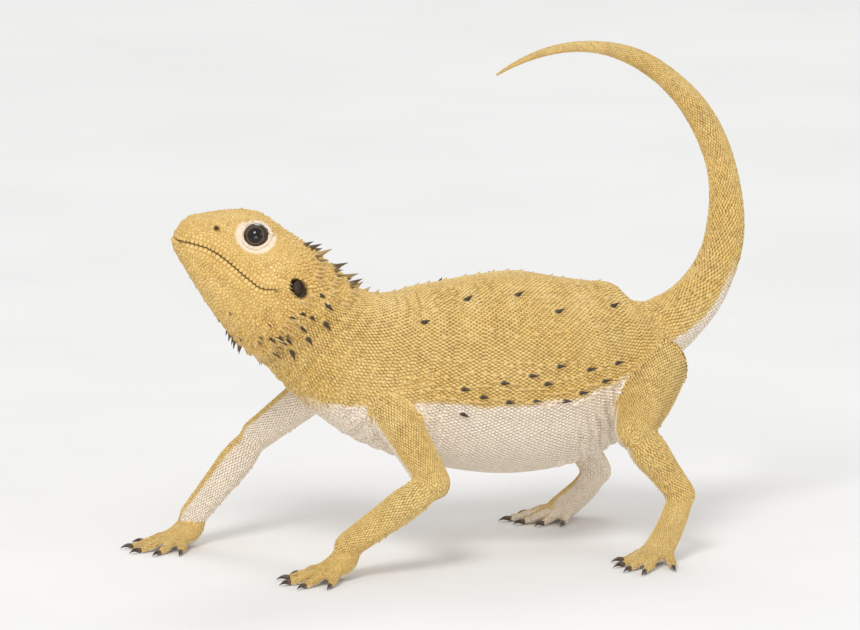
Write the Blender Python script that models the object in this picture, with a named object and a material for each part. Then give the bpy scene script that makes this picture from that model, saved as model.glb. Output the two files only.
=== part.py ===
"""A central bearded dragon, Pogona vitticeps, as a still, life-size museum model.

The lizard stands on four feet with its head raised and its tail curled up over its back. It faces -X,
its own left side is at -Y, and the floor is at z = 0. Tables are in millimetres for an animal that
measures SNOUT_TO_VENT from the snout to the vent, and MM turns them into metres.

The head, neck, trunk and tail are one loft along one centreline, parted by thin plane cuts. Each limb
is a chain of tapered segments, and each is trimmed clear of the one that it grows from.
"""

import math

import bmesh
import bpy
import numpy as np
from mathutils import Matrix, Vector

SNOUT_TO_VENT = 0.239
MM = SNOUT_TO_VENT / 239.0

GAP = 0.3 * MM  # clear space between neighbouring pieces
HALF_GAP = GAP / 2
SLIVER = 0.03 * MM  # edges shorter than this are closed up after each Boolean
TAU = 2 * math.pi

# Head: the snout tip on the mouth line, and how the head is raised and turned.
SNOUT = Vector((-142.0, 14.0, 146.0)) * MM
HEAD_PITCH = math.radians(29)
HEAD_TURN = math.radians(12)
HEAD_LENGTH = 62.0 * MM
HEAD_AHEAD = Vector(
    (
        -math.cos(HEAD_PITCH) * math.cos(HEAD_TURN),
        math.cos(HEAD_PITCH) * math.sin(HEAD_TURN),
        math.sin(HEAD_PITCH),
    )
)
HEAD_SIDE = Vector((math.sin(HEAD_TURN), math.cos(HEAD_TURN), 0.0))  # to the lizard's right
HEAD_UP = HEAD_SIDE.cross(HEAD_AHEAD)

# Head sections: distance behind the snout tip, half width, height above the mouth line, depth below it.
HEAD_SECTIONS = (
    (0.0, 4.6, 6.4, 2.9),
    (1.6, 8.2, 9.8, 5.4),
    (5.0, 11.6, 12.8, 8.0),
    (10.0, 13.8, 16.8, 11.0),
    (17.0, 16.6, 21.4, 15.2),
    (24.0, 19.4, 25.0, 19.2),
    (32.0, 22.8, 26.2, 23.4),
    (40.0, 26.2, 25.2, 26.8),
    (48.0, 28.6, 23.8, 29.6),
    (55.0, 28.8, 22.4, 31.4),
    (62.0, 26.4, 21.0, 32.0),
)
HEAD_CROWN_POWER = 2.9  # a flat-topped skull
HEAD_JAW_POWER = 2.3

# How far behind the snout tip the head's rings lie.
HEAD_RINGS = (0, 1.0, 2.8, 6, 11, 16.5, 22, 27.5, 33, 38.5, 44, 49.5, 54.5, 58.5, 62)
HEAD_END = HEAD_LENGTH
NECK_END = HEAD_END + 30.0 * MM
SIDES = (("left", -1.0), ("right", 1.0))

# Neck, trunk and pelvis: centre x, y, z, half width, height above the centre, depth below it.
BODY_SECTIONS = (
    (-78.5, 1.2, 104.5, 24.0, 23.0, 31.0),
    (-68.0, 0.3, 95.5, 26.5, 26.5, 33.0),
    (-52.0, 0.0, 87.0, 32.5, 32.5, 37.5),
    (-32.0, 0.0, 81.5, 37.5, 39.0, 41.5),
    (-8.0, 0.0, 78.0, 42.0, 44.5, 44.6),
    (16.0, 0.0, 77.0, 43.0, 45.5, 45.0),
    (38.0, 0.0, 79.0, 40.0, 41.0, 42.4),
    (57.0, 0.0, 83.0, 32.0, 34.5, 33.5),
    (72.0, 0.0, 87.5, 24.0, 27.0, 22.5),
)
BODY_POWER = 2.15
FRINGE_RISE = 2.6 * MM  # the flank's spiny edge, out to the tips of its spines
FRINGE_START = 0.36  # as shares of the whole centreline, where the fringe begins and ends
FRINGE_END = 0.56

# Tail: it leaves the pelvis, turns up, and curls forward over the back with a swing to the right.
TAIL_ROOT = Vector((81.5, 0.0, 93.2)) * MM
TAIL_LENGTH = 227.0 * MM
TAIL_FIRST_HEADING = 48.5  # degrees above the floor once the root's bend is over
TAIL_CURL = 0.705 / MM  # degrees for each metre along the tail
TAIL_ROOT_BEND = 41.0 * MM
TAIL_LEAD_IN = 32.0 * MM
TAIL_SWING = math.radians(14)
TAIL_SWING_SPAN = 0.54
TAIL_STEPS = 46
# Share of the tail's length, half width, half height.
TAIL_SECTIONS = (
    (0.00, 15.5, 15.0),
    (0.07, 12.8, 12.0),
    (0.16, 10.4, 10.0),
    (0.30, 8.4, 8.2),
    (0.50, 6.2, 6.2),
    (0.70, 3.9, 3.9),
    (0.88, 2.1, 2.1),
    (1.00, 0.9, 0.9),
)
TAIL_LENGTHS = 4

TRUNK_SIDES = 24
TAIL_SIDES = 12
LIMB_SIDES = 10
DIGIT_SIDES = 6
CLAW_SIDES = 5

SAND = (0.69, 0.47, 0.14)
CREAM = (0.80, 0.68, 0.55)
HORN = (0.06, 0.04, 0.03)


# ---------------------------------------------------------------- helpers


def clear_scene():
    for thing in list(bpy.data.objects):
        bpy.data.objects.remove(thing)


def new_collection(name):
    made = bpy.data.collections.new(name)
    bpy.context.scene.collection.children.link(made)
    return made


def material(name, colour, roughness):
    made = bpy.data.materials.new(name)
    made.use_nodes = True
    shader = made.node_tree.nodes["Principled BSDF"]
    shader.inputs["Base Color"].default_value = (*colour, 1.0)
    shader.inputs["Roughness"].default_value = roughness
    shader.inputs["Metallic"].default_value = 0.0
    return made


def smooth_rows(rows, at):
    """The rows read at the parameters `at`, on a smooth curve through them. Column 0 is the parameter."""
    rows = np.array(rows, float)
    knots, values = rows[:, 0], rows[:, 1:]
    slopes = np.gradient(values, knots, axis=0)
    at = np.clip(np.array(at, float), knots[0], knots[-1])
    first = np.clip(np.searchsorted(knots, at, side="right") - 1, 0, len(knots) - 2)
    span = (knots[first + 1] - knots[first])[:, None]
    share = ((at - knots[first])[:, None]) / span
    square, cube = share**2, share**3
    return (
        (2 * cube - 3 * square + 1) * values[first]
        + (cube - 2 * square + share) * span * slopes[first]
        + (3 * square - 2 * cube) * values[first + 1]
        + (cube - square) * span * slopes[first + 1]
    )


def along(points):
    """Distance along a row of points, from the first."""
    steps = np.linalg.norm(np.diff(points, axis=0), axis=1)
    return np.concatenate([[0.0], np.cumsum(steps)])


def signed_power(value, power):
    return math.copysign(abs(value) ** power, value)


def ring(centre, side, up, half_width, rise, drop, crown_power, belly_power, sides):
    """One closed section. It starts at the top and goes round by way of +side."""
    points = []
    for k in range(sides):
        turn = TAU * k / sides
        across, height = math.sin(turn), math.cos(turn)
        power = 2 / (crown_power if height > 0 else belly_power)
        reach = rise if height > 0 else drop
        points.append(
            centre
            + side * (half_width * signed_power(across, power))
            + up * (reach * signed_power(height, power))
        )
    return points


def loft(name, rings):
    """One closed mesh through rings of equal counts, with flat ends."""
    shape = bmesh.new()
    rows = [[shape.verts.new(point) for point in points] for points in rings]
    count = len(rows[0])
    for near, far in zip(rows, rows[1:]):
        for k in range(count):
            after = (k + 1) % count
            shape.faces.new((near[k], near[after], far[after], far[k]))
    shape.faces.new(rows[0])
    shape.faces.new(list(reversed(rows[-1])))
    bmesh.ops.recalc_face_normals(shape, faces=shape.faces)
    bmesh.ops.triangulate(shape, faces=shape.faces)
    mesh = bpy.data.meshes.new(name)
    shape.to_mesh(mesh)
    shape.free()
    mesh.shade_smooth()
    made = bpy.data.objects.new(name, mesh)
    cutters.objects.link(made)
    return made


def ellipsoid(name, centre, axes, radii, segments=12, rows=8):
    """A sphere primitive stretched along three given axes."""
    shape = bmesh.new()
    bmesh.ops.create_uvsphere(shape, u_segments=segments, v_segments=rows, radius=1.0)
    stretch = Matrix([axis * radius for axis, radius in zip(axes, radii)]).transposed()
    bmesh.ops.transform(shape, matrix=Matrix.Translation(centre) @ stretch.to_4x4(), verts=shape.verts)
    bmesh.ops.recalc_face_normals(shape, faces=shape.faces)
    mesh = bpy.data.meshes.new(name)
    shape.to_mesh(mesh)
    shape.free()
    made = bpy.data.objects.new(name, mesh)
    cutters.objects.link(made)
    return made


def combine(base, other, operation):
    """base becomes its union, difference or intersection with other."""
    step = base.modifiers.new(other.name, "BOOLEAN")
    step.operation = operation
    step.solver = "EXACT"
    step.object = other
    graph = bpy.context.evaluated_depsgraph_get()
    made = bpy.data.meshes.new_from_object(base.evaluated_get(graph))
    base.modifiers.remove(step)
    shape = bmesh.new()
    shape.from_mesh(made)
    bmesh.ops.triangulate(shape, faces=shape.faces)
    bmesh.ops.remove_doubles(shape, verts=shape.verts, dist=SLIVER)
    bmesh.ops.dissolve_degenerate(shape, edges=shape.edges, dist=SLIVER)
    bmesh.ops.triangulate(shape, faces=shape.faces)
    shape.to_mesh(made)
    shape.free()
    base.data = made
    return base


def block(name, centre, size):
    """A plain box."""
    shape = bmesh.new()
    bmesh.ops.create_cube(shape, size=1.0)
    bmesh.ops.scale(shape, vec=size, verts=shape.verts)
    bmesh.ops.translate(shape, vec=centre, verts=shape.verts)
    mesh = bpy.data.meshes.new(name)
    shape.to_mesh(mesh)
    shape.free()
    made = bpy.data.objects.new(name, mesh)
    cutters.objects.link(made)
    return made


def keep(piece, finish):
    """The finished piece moves to the lizard's own collection, with its material."""
    cutters.objects.unlink(piece)
    lizard.objects.link(piece)
    piece.data.materials.clear()
    piece.data.materials.append(finish)
    return piece


def discard(*pieces):
    for piece in pieces:
        bpy.data.objects.remove(piece)


# ---------------------------------------------------------------- the centreline


def head_point(behind, across=0.0, above=0.0):
    """A point placed in the head: millimetres behind the snout tip, to its right, above the mouth line."""
    return SNOUT - HEAD_AHEAD * (behind * MM) + HEAD_SIDE * (across * MM) + HEAD_UP * (above * MM)


def tail_points():
    """The tail's centreline, walked step by step as its heading rises and its swing comes and goes."""
    step = TAIL_LENGTH / TAIL_STEPS
    place = TAIL_ROOT.copy()
    points = [tuple(place)]
    for k in range(TAIL_STEPS):
        gone = (k + 0.5) * step
        bend = 1 - math.exp(-(gone + TAIL_LEAD_IN) / TAIL_ROOT_BEND)
        heading = math.radians((TAIL_FIRST_HEADING + TAIL_CURL * gone) * bend)
        swing = TAIL_SWING * math.sin(math.pi * gone / TAIL_LENGTH / TAIL_SWING_SPAN)
        place += step * Vector(
            (
                math.cos(swing) * math.cos(heading),
                math.sin(swing),
                math.cos(swing) * math.sin(heading),
            )
        )
        points.append(tuple(place))
    return points


def body_table():
    """Rows for smooth_rows: distance along the centreline, then x, y, z, half width, rise, drop, powers."""
    rows = [
        (*head_point(behind), wide * MM, rise * MM, drop * MM, HEAD_CROWN_POWER, HEAD_JAW_POWER)
        for behind, wide, rise, drop in HEAD_SECTIONS
    ]
    rows += [tuple(value * MM for value in row) + (BODY_POWER, BODY_POWER) for row in BODY_SECTIONS]
    tail = tail_points()
    shares = np.linspace(0, 1, len(tail))
    sizes = smooth_rows(TAIL_SECTIONS, shares) * MM
    rows += [(*point, wide, high, high, 2.0, 2.0) for point, (wide, high) in zip(tail, sizes)]
    rows = np.array(rows)
    return np.column_stack([along(rows[:, :3]), rows])


def body_rings(table, distances, sides, grow=0.0, inset=(0.0, 0.0)):
    """Rings of the body at these distances along it, each square to the centreline.

    A ring's side follows the turn of the head as far as the nape, and turns to +Y along the neck. The first
    and last rings move inwards by inset along their own headings, so that the end rings of two neighbours cut
    at the same distance stay parallel, with an even gap.
    """
    rows = smooth_rows(table, distances)
    nudge = 1.5 * MM
    ahead = smooth_rows(table, np.array(distances) + nudge)[:, :3]
    behind = smooth_rows(table, np.array(distances) - nudge)[:, :3]
    shifts = [0.0] * len(rows)
    shifts[0] = inset[0]
    shifts[-1] = -inset[1]
    untwisted = np.clip((np.array(distances) - HEAD_END) / (NECK_END - HEAD_END), 0.0, 1.0)
    rings = []
    for row, towards, shift, share in zip(rows, ahead - behind, shifts, untwisted):
        heading = Vector(towards).normalized()
        side = HEAD_SIDE.lerp(Vector((0, 1, 0)), float(share))
        side = (side - heading * side.dot(heading)).normalized()
        up = heading.cross(side)
        half_width, rise, drop = (size + grow for size in row[3:6])
        centre = Vector(row[:3]) + heading * shift
        rings.append(ring(centre, side, up, half_width, rise, drop, row[6], row[7], sides))
    return rings


def add_fringe(rings, distances, whole):
    """The flank's spiny edge: one point on each side of a trunk ring is drawn out to the spines' tips."""
    count = len(rings[0])
    edge = round(count * 0.27)
    for points, distance in zip(rings, distances):
        share = distance / whole
        inside = (share - FRINGE_START) / (FRINGE_END - FRINGE_START)
        strength = math.sin(math.pi * inside) ** 0.5 if 0 < inside < 1 else 0.0
        centre = sum(points, Vector()) / count
        for k in (edge, count - edge):
            points[k] += (points[k] - centre).normalized() * (FRINGE_RISE * strength)


# ---------------------------------------------------------------- head


EYE_BEHIND, EYE_ACROSS, EYE_ABOVE = 29.8, 14.8, 17.6
EYE_RADIUS = 6.1
LID_THICKNESS = 1.1
LID_OPEN_LONG = 5.4  # half length of the opening between the lids
LID_OPEN_HIGH = 4.5
EAR_BEHIND, EAR_ACROSS, EAR_ABOVE = 55.0, 27.0, 7.5
EAR_LONG, EAR_WIDE, EAR_DEEP = 4.6, 3.0, 3.2
# The mouth line from the snout to its corner, then down behind the jaw and beard, and out below the head.
MOUTH_LINE = (
    (-6.0, -1.2),
    (1.5, -0.9),
    (5.0, 0.8),
    (9.0, 2.1),
    (13.0, 3.0),
    (18.0, 3.2),
    (23.5, 2.5),
    (29.0, 1.4),
    (34.5, 0.4),
    (39.5, -0.3),
    (43.0, 0.4),
    (46.5, 2.8),
    (52.0, -5.0),
    (61.4, -10.0),
    (61.4, -50.0),
    (-6.0, -50.0),
)


def jaw_region(name, lift):
    """A slab the shape of the lower jaw seen from the side, wider than the head, moved up by lift."""
    outline = bpy.data.curves.new(name, "CURVE")
    outline.dimensions = "2D"
    outline.fill_mode = "BOTH"
    outline.extrude = 45 * MM
    line = outline.splines.new("POLY")
    line.points.add(len(MOUTH_LINE) - 1)
    for point, (behind, above) in zip(line.points, MOUTH_LINE):
        point.co = (-behind * MM, above * MM + lift, 0, 1)
    line.use_cyclic_u = True
    flat = bpy.data.objects.new(name + "_outline", outline)
    cutters.objects.link(flat)
    axes = Matrix((HEAD_AHEAD, HEAD_UP, HEAD_AHEAD.cross(HEAD_UP))).transposed()
    flat.matrix_world = Matrix.Translation(SNOUT) @ axes.to_4x4()
    bpy.context.view_layer.update()
    mesh = bpy.data.meshes.new_from_object(flat.evaluated_get(bpy.context.evaluated_depsgraph_get()))
    mesh.transform(flat.matrix_world)
    shape = bmesh.new()
    shape.from_mesh(mesh)
    bmesh.ops.remove_doubles(shape, verts=shape.verts, dist=1e-6)
    bmesh.ops.recalc_face_normals(shape, faces=shape.faces)
    shape.to_mesh(mesh)
    shape.free()
    discard(flat)
    region = bpy.data.objects.new(name, mesh)
    cutters.objects.link(region)
    return region


def side_axes(sign):
    """Axes for a part on one side of the head: along it, up it, and out of it."""
    out = (HEAD_SIDE * sign * 0.93 + HEAD_AHEAD * 0.30 + HEAD_UP * 0.20).normalized()
    along_head = (HEAD_AHEAD - out * HEAD_AHEAD.dot(out)).normalized()
    return along_head, out.cross(along_head), out


def build_head(table):
    distances = [behind * MM for behind in HEAD_RINGS]
    whole = loft("head_whole", body_rings(table, distances, TRUNK_SIDES, 0.0, (0.0, HALF_GAP)))
    for name, sign in SIDES:
        lengthwise, upwards, out = side_axes(sign)
        eye = head_point(EYE_BEHIND, sign * EYE_ACROSS, EYE_ABOVE)
        lid_radius = (EYE_RADIUS + LID_THICKNESS) * MM
        axes = (lengthwise, upwards, out)
        lid = ellipsoid("lid_" + name, eye, axes, (lid_radius * 1.08, lid_radius, lid_radius))
        combine(whole, lid, "UNION")
        opening = ellipsoid(
            "lid_opening_" + name,
            eye + out * (EYE_RADIUS * MM),
            axes,
            (LID_OPEN_LONG * MM, LID_OPEN_HIGH * MM, 4.5 * MM),
        )
        combine(whole, opening, "DIFFERENCE")
        socket_radius = EYE_RADIUS * MM + GAP
        socket = ellipsoid("socket_" + name, eye, axes, (socket_radius,) * 3)
        combine(whole, socket, "DIFFERENCE")
        eyeball = ellipsoid("eye_" + name, eye, axes, (EYE_RADIUS * MM,) * 3)
        keep(eyeball, eye_finish)

        ear = head_point(EAR_BEHIND, sign * EAR_ACROSS, EAR_ABOVE)
        slant = (HEAD_UP * 0.9 + HEAD_AHEAD * 0.42).normalized()
        outwards = (HEAD_SIDE * sign - HEAD_AHEAD * 0.12).normalized()
        slant = (slant - outwards * slant.dot(outwards)).normalized()
        axes = (slant, outwards.cross(slant), outwards)
        pit = ellipsoid("ear_pit_" + name, ear, axes, (EAR_LONG * MM, EAR_WIDE * MM, EAR_DEEP * MM))
        combine(whole, pit, "DIFFERENCE")
        drum = ellipsoid(
            "eardrum_" + name,
            ear - outwards * (1.55 * MM),
            axes,
            (EAR_LONG * MM * 0.72, EAR_WIDE * MM * 0.72, 0.8 * MM),
            10,
            6,
        )
        keep(drum, skin_finish)
        discard(lid, opening, socket, pit)
    region_above = jaw_region("jaw_region_raised", HALF_GAP)
    region_below = jaw_region("jaw_region_lowered", -HALF_GAP)
    jaw = whole.copy()
    jaw.data = whole.data.copy()
    jaw.name = "lower_jaw_and_beard"
    cutters.objects.link(jaw)
    combine(jaw, region_below, "INTERSECT")
    combine(whole, region_above, "DIFFERENCE")
    whole.name = "head"
    discard(region_above, region_below)
    keep(jaw, beard_finish)
    keep(whole, skin_finish)


# ---------------------------------------------------------------- neck, trunk and tail


def build_trunk_and_tail(table):
    """The neck, the trunk and the tail's lengths. Gives back one clearance cutter for the limbs."""
    whole = table[-1, 0]
    lengths = [("neck", HEAD_END, NECK_END, 5, TRUNK_SIDES), ("trunk", NECK_END, TRUNK_END, 13, TRUNK_SIDES)]
    tail_marks = np.linspace(TRUNK_END, whole, TAIL_LENGTHS + 1)
    for k in range(TAIL_LENGTHS):
        lengths.append((f"tail_{k + 1}", tail_marks[k], tail_marks[k + 1], 8, TAIL_SIDES))
    clearance = None
    for name, start, end, count, sides in lengths:
        distances = np.linspace(start, end, count)
        rings = body_rings(table, distances, sides, 0.0, (HALF_GAP, HALF_GAP))
        if name == "trunk":
            add_fringe(rings, distances, whole)
        keep(loft(name, rings), skin_finish)
        if name in ("neck", "trunk", "tail_1"):
            rings = body_rings(table, distances, sides, 1.3 * GAP, (-HALF_GAP, -HALF_GAP))
            if name == "trunk":
                add_fringe(rings, distances, whole)
            grown = loft(name + "_clearance", rings)
            if clearance:
                combine(clearance, grown, "UNION")
                discard(grown)
            else:
                clearance = grown
    return clearance


# ---------------------------------------------------------------- limbs


# Joints of each limb: x, y, z. The left limbs are the ones towards -Y.
LIMB_JOINTS = {
    "arm_left": ((-56.0, -18.0, 75.0), (-44.0, -55.0, 41.0), (-83.0, -51.0, 14.5)),
    "arm_right": ((-66.0, 18.0, 78.0), (-96.5, 40.5, 47.5), (-128.0, 36.0, 13.5)),
    "leg_left": ((75.0, -12.0, 80.0), (50.0, -52.0, 58.0), (72.5, -52.0, 28.0)),
    "leg_right": ((72.0, 12.0, 79.0), (46.0, 48.0, 53.0), (66.0, 44.0, 20.0)),
}
# Share of the segment, half width, half depth, as a capsule with domed ends.
UPPER_ARM = ((0.0, 12.5, 10.5), (0.45, 9.8, 9.2), (0.8, 8.4, 8.2), (1.0, 7.8, 7.8))
FOREARM = ((0.0, 6.0, 6.0), (0.3, 8.4, 7.8), (0.6, 7.6, 7.2), (1.0, 6.8, 6.4))
THIGH = ((0.0, 14.5, 16.0), (0.4, 13.4, 14.6), (0.8, 10.6, 11.4), (1.0, 9.2, 9.4))
SHANK = ((0.0, 7.0, 7.0), (0.3, 9.4, 8.8), (0.65, 8.0, 7.6), (1.0, 7.2, 6.8))


def capsule_rings(start, end, sizes, sides, grow=0.0, count=5, dome=0.95):
    """Rings of a tapered limb segment. Its far end is a dome, which is the round of the next joint."""
    start, end = Vector(start), Vector(end)
    heading = (end - start).normalized()
    length = (end - start).length
    side = heading.cross(Vector((0, 0, 1)))
    side = side.normalized() if side.length > 0.05 else Vector((0, 1, 0))
    up = side.cross(heading)
    last = np.array(sizes[-1][1:])
    rings = []
    for share in np.linspace(0, 1, count):
        wide, deep = smooth_rows(sizes, [share])[0] * MM + grow
        back = grow if share == 0 else 0.0
        rings.append(ring(start + heading * (length * share - back), side, up, wide, deep, deep, 2, 2, sides))
    for angle in (25, 50, 75):
        on = (math.sin(math.radians(angle)) * last.mean() * MM + grow) * dome
        wide, deep = (last * MM + grow) * math.cos(math.radians(angle))
        rings.append(ring(end + heading * on, side, up, wide, deep, deep, 2, 2, sides))
    return rings


def build_limb(limb, names, shapes, joints, body_cutter):
    """Two segments: the first is trimmed clear of the body, the second clear of the first."""
    upper = loft(names[0], capsule_rings(joints[0], joints[1], shapes[0], LIMB_SIDES))
    upper_cutter = loft(limb + "_clearance", capsule_rings(joints[0], joints[1], shapes[0], LIMB_SIDES, GAP))
    combine(upper, body_cutter, "DIFFERENCE")
    lower = loft(names[1], capsule_rings(joints[1], joints[2], shapes[1], LIMB_SIDES))
    grown = capsule_rings(joints[1], joints[2], shapes[1], LIMB_SIDES, GAP)
    lower_cutter = loft(names[1] + "_clearance", grown)
    combine(lower, upper_cutter, "DIFFERENCE")
    keep(upper, skin_finish)
    keep(lower, skin_finish)
    discard(upper_cutter)
    return lower_cutter


# ---------------------------------------------------------------- hands and feet


# Each digit: root ahead of and beside the wrist or toe joint, its direction in degrees from straight ahead
# (positive away from the body), its length without the claw, and the thickness at its root.
HAND_DIGITS = (
    (6.5, -5.6, -46.0, 9.8, 2.6),
    (9.4, -3.6, -22.0, 13.4, 2.7),
    (10.6, 0.0, 0.0, 15.6, 2.75),
    (9.6, 3.6, 20.0, 15.2, 2.7),
    (6.6, 5.6, 46.0, 11.2, 2.6),
)
FOOT_DIGITS = (
    (5.4, -5.6, -40.0, 9.4, 2.5),
    (7.6, -3.3, -15.0, 13.0, 2.6),
    (8.6, -0.4, 3.0, 16.6, 2.7),
    (8.0, 2.7, 19.0, 19.2, 2.7),
    (3.4, 5.2, 44.0, 12.2, 2.5),
)
DIGIT_TIP = 1.55
CLAW_ROOT = 1.25
CLAW_POINT = 0.3
CLAW_LENGTH = 5.2
ROUND_END = 0.6  # length of a digit's blunt end, as a share of its radius
FLOOR_BLOCK = 120.0 * MM
SOLE_SINK = 0.55  # how far a digit's lowest side would pass below the floor before its flat is cut

# Where each hand or foot lies: the palm's root on the floor plan, its heading in degrees from -X
# towards -Y, the height of the root, and how much it splays.
PLACES = {
    "hand_left": ("arm_left", HAND_DIGITS, 12.0, 1.0),
    "hand_right": ("arm_right", HAND_DIGITS, 18.0, -1.0),
    "foot_left": ("leg_left", FOOT_DIGITS, 36.0, 1.0),
    "foot_right": ("leg_right", FOOT_DIGITS, 18.0, -1.0),
}
METATARSUS_REACH = {"hand_left": 1.5, "hand_right": 1.5, "foot_left": 14.0, "foot_right": 15.0}


def floor_axes(heading_degrees, outward):
    """Directions on the floor: ahead for the hand, and towards its outer edge."""
    angle = math.radians(heading_degrees)
    ahead = Vector((-math.cos(angle), -math.sin(angle), 0))
    beside = Vector((-ahead.y, ahead.x, 0)) * outward
    return ahead, beside


def digit_line(root, heading, length, thickness):
    """Centreline and radius of a digit: up over the knuckle, then down to lie on the floor."""
    low = (thickness - SOLE_SINK) * MM
    tip_low = (DIGIT_TIP - 0.35) * MM
    rows = []
    for share, lift, wide in (
        (-0.30, 1.2, 1.0),
        (0.0, 2.2, 1.06),
        (0.30, 2.3, 0.96),
        (0.62, 0.5, 0.96),
        (1.0, 0.1, 0.72),
    ):
        height = low * (1 - max(share, 0)) + tip_low * max(share, 0) + lift * MM
        place = root + heading * (length * MM * share)
        rows.append((Vector((place.x, place.y, height)), thickness * MM * wide))
    return rows


def tube(name, rows, sides, rounded=True):
    """A closed tube through (place, radius) rows. A rounded one gets a narrower, blunt far end."""
    rings = []
    places = [row[0] for row in rows]
    for k, (place, radius) in enumerate(rows):
        heading = (places[min(k + 1, len(rows) - 1)] - places[max(k - 1, 0)]).normalized()
        side = heading.cross(Vector((0, 0, 1))).normalized()
        up = side.cross(heading)
        rings.append(ring(place, side, up, radius, radius, radius, 2, 2, sides))
    if rounded:
        end, radius = rows[-1]
        end = end + Vector((heading.x, heading.y, 0)).normalized() * (radius * ROUND_END)
        radius *= 0.6
        rings.append(ring(end, side, up, radius, radius, radius, 2, 2, sides))
    return loft(name, rings)


def claw_rows(tip, heading, radius):
    """A claw's centreline: it starts a gap beyond the digit's end and hooks down to just above the floor."""
    start = tip + heading * (radius * ROUND_END + 1.6 * GAP)
    rows = []
    for share, lift in ((0.0, 0.0), (0.3, 0.45), (0.65, 0.2), (1.0, -0.75)):
        place = start + heading * (CLAW_LENGTH * MM * share)
        thickness = (CLAW_ROOT * (1 - share) ** 0.8 + CLAW_POINT * share) * MM
        height = max(start.z + lift * MM, thickness + 0.15 * MM)
        rows.append((Vector((place.x, place.y, height)), thickness))
    return rows


def build_extremity(name, limb_cutter):
    """A palm or sole with its five digits as one solid, and a claw at the end of each digit."""
    limb, digits, turn, outward = PLACES[name]
    ahead, beside = floor_axes(turn, outward)
    joint = Vector(LIMB_JOINTS[limb][2]) * MM
    reach = METATARSUS_REACH[name]
    palm_root = Vector((joint.x, joint.y, 0)) + ahead * (reach * MM)
    is_foot = reach > 5
    palm_height = 5.2 if is_foot else 5.0
    rows = [
        (joint, 6.3 * MM, 5.9 * MM),
        (joint.lerp(palm_root + Vector((0, 0, palm_height * MM)), 0.5), 6.6 * MM, 6.0 * MM),
        (palm_root + ahead * (3.0 * MM) + Vector((0, 0, (palm_height + 1.0) * MM)), 7.6 * MM, 5.8 * MM),
        (palm_root + ahead * (7.6 * MM) + Vector((0, 0, 4.4 * MM)), 7.8 * MM, 4.6 * MM),
        (palm_root + ahead * (11.4 * MM) + Vector((0, 0, 3.2 * MM)), 5.2 * MM, 3.0 * MM),
    ]
    rings = []
    for k, (place, wide, deep) in enumerate(rows):
        heading = (rows[min(k + 1, len(rows) - 1)][0] - rows[max(k - 1, 0)][0]).normalized()
        up = heading.cross(beside) * outward
        rings.append(ring(place, beside, up, wide, deep, deep, 2.3, 2.3, LIMB_SIDES))
    extremity = loft(name, rings)
    claws = []
    for number, (onward, across, splay, length, thickness) in enumerate(digits, 1):
        angle = math.radians(splay)
        heading = ahead * math.cos(angle) + beside * math.sin(angle)
        root = palm_root + ahead * (onward * MM) + beside * (across * MM)
        line = digit_line(root, heading, length, thickness)
        digit = tube(f"{name}_digit_{number}", line, DIGIT_SIDES)
        combine(extremity, digit, "UNION")
        claws.append((number, line, heading))
        discard(digit)
    combine(extremity, limb_cutter, "DIFFERENCE")
    below = Vector((joint.x, joint.y, -FLOOR_BLOCK / 2))
    floor = block("floor", below, (FLOOR_BLOCK, FLOOR_BLOCK, FLOOR_BLOCK))
    combine(extremity, floor, "DIFFERENCE")
    discard(floor)
    keep(extremity, skin_finish)
    for number, line, heading in claws:
        tip, radius = line[-1]
        keep(tube(f"claw_{name}_{number}", claw_rows(tip, heading, radius), CLAW_SIDES, False), horn_finish)
    discard(limb_cutter)


# ---------------------------------------------------------------- assembly




def centre_on_floor():
    """Moves every piece so that the middle of the model's box is above the origin."""
    bpy.context.view_layer.update()
    corners = np.array([piece.matrix_world @ Vector(c) for piece in lizard.objects for c in piece.bound_box])
    middle = (corners.min(axis=0) + corners.max(axis=0)) / 2
    for piece in lizard.objects:
        piece.data.transform(Matrix.Translation((-middle[0], -middle[1], 0)))


clear_scene()
lizard = new_collection("bearded_dragon")
cutters = new_collection("cutters")
cutters.hide_render = True
skin_finish = material("sandy_skin", SAND, 0.7)
beard_finish = material("beard_skin", CREAM, 0.7)
eye_finish = material("eye", HORN, 0.15)
horn_finish = material("claw_horn", HORN, 0.4)

BODY = body_table()
TRUNK_END = float(np.interp(72.0 * MM, BODY[:, 1][10:20], BODY[:, 0][10:20]))
build_head(BODY)
trunk_clearance = build_trunk_and_tail(BODY)
LIMBS = {
    "arm": (("upper_arm", "forearm"), (UPPER_ARM, FOREARM), "hand"),
    "leg": (("thigh", "shank"), (THIGH, SHANK), "foot"),
}
for limb_kind, (segment_names, segment_shapes, end_name) in LIMBS.items():
    for side_name, _ in SIDES:
        limb_name = f"{limb_kind}_{side_name}"
        limb_joints = [Vector(joint) * MM for joint in LIMB_JOINTS[limb_name]]
        piece_names = [f"{segment}_{side_name}" for segment in segment_names]
        last_segment = build_limb(limb_name, piece_names, segment_shapes, limb_joints, trunk_clearance)
        build_extremity(f"{end_name}_{side_name}", last_segment)
discard(trunk_clearance)
centre_on_floor()
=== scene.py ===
import math

import bpy
import numpy as np
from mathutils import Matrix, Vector
from mathutils.bvhtree import BVHTree
from mathutils.kdtree import KDTree


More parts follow.
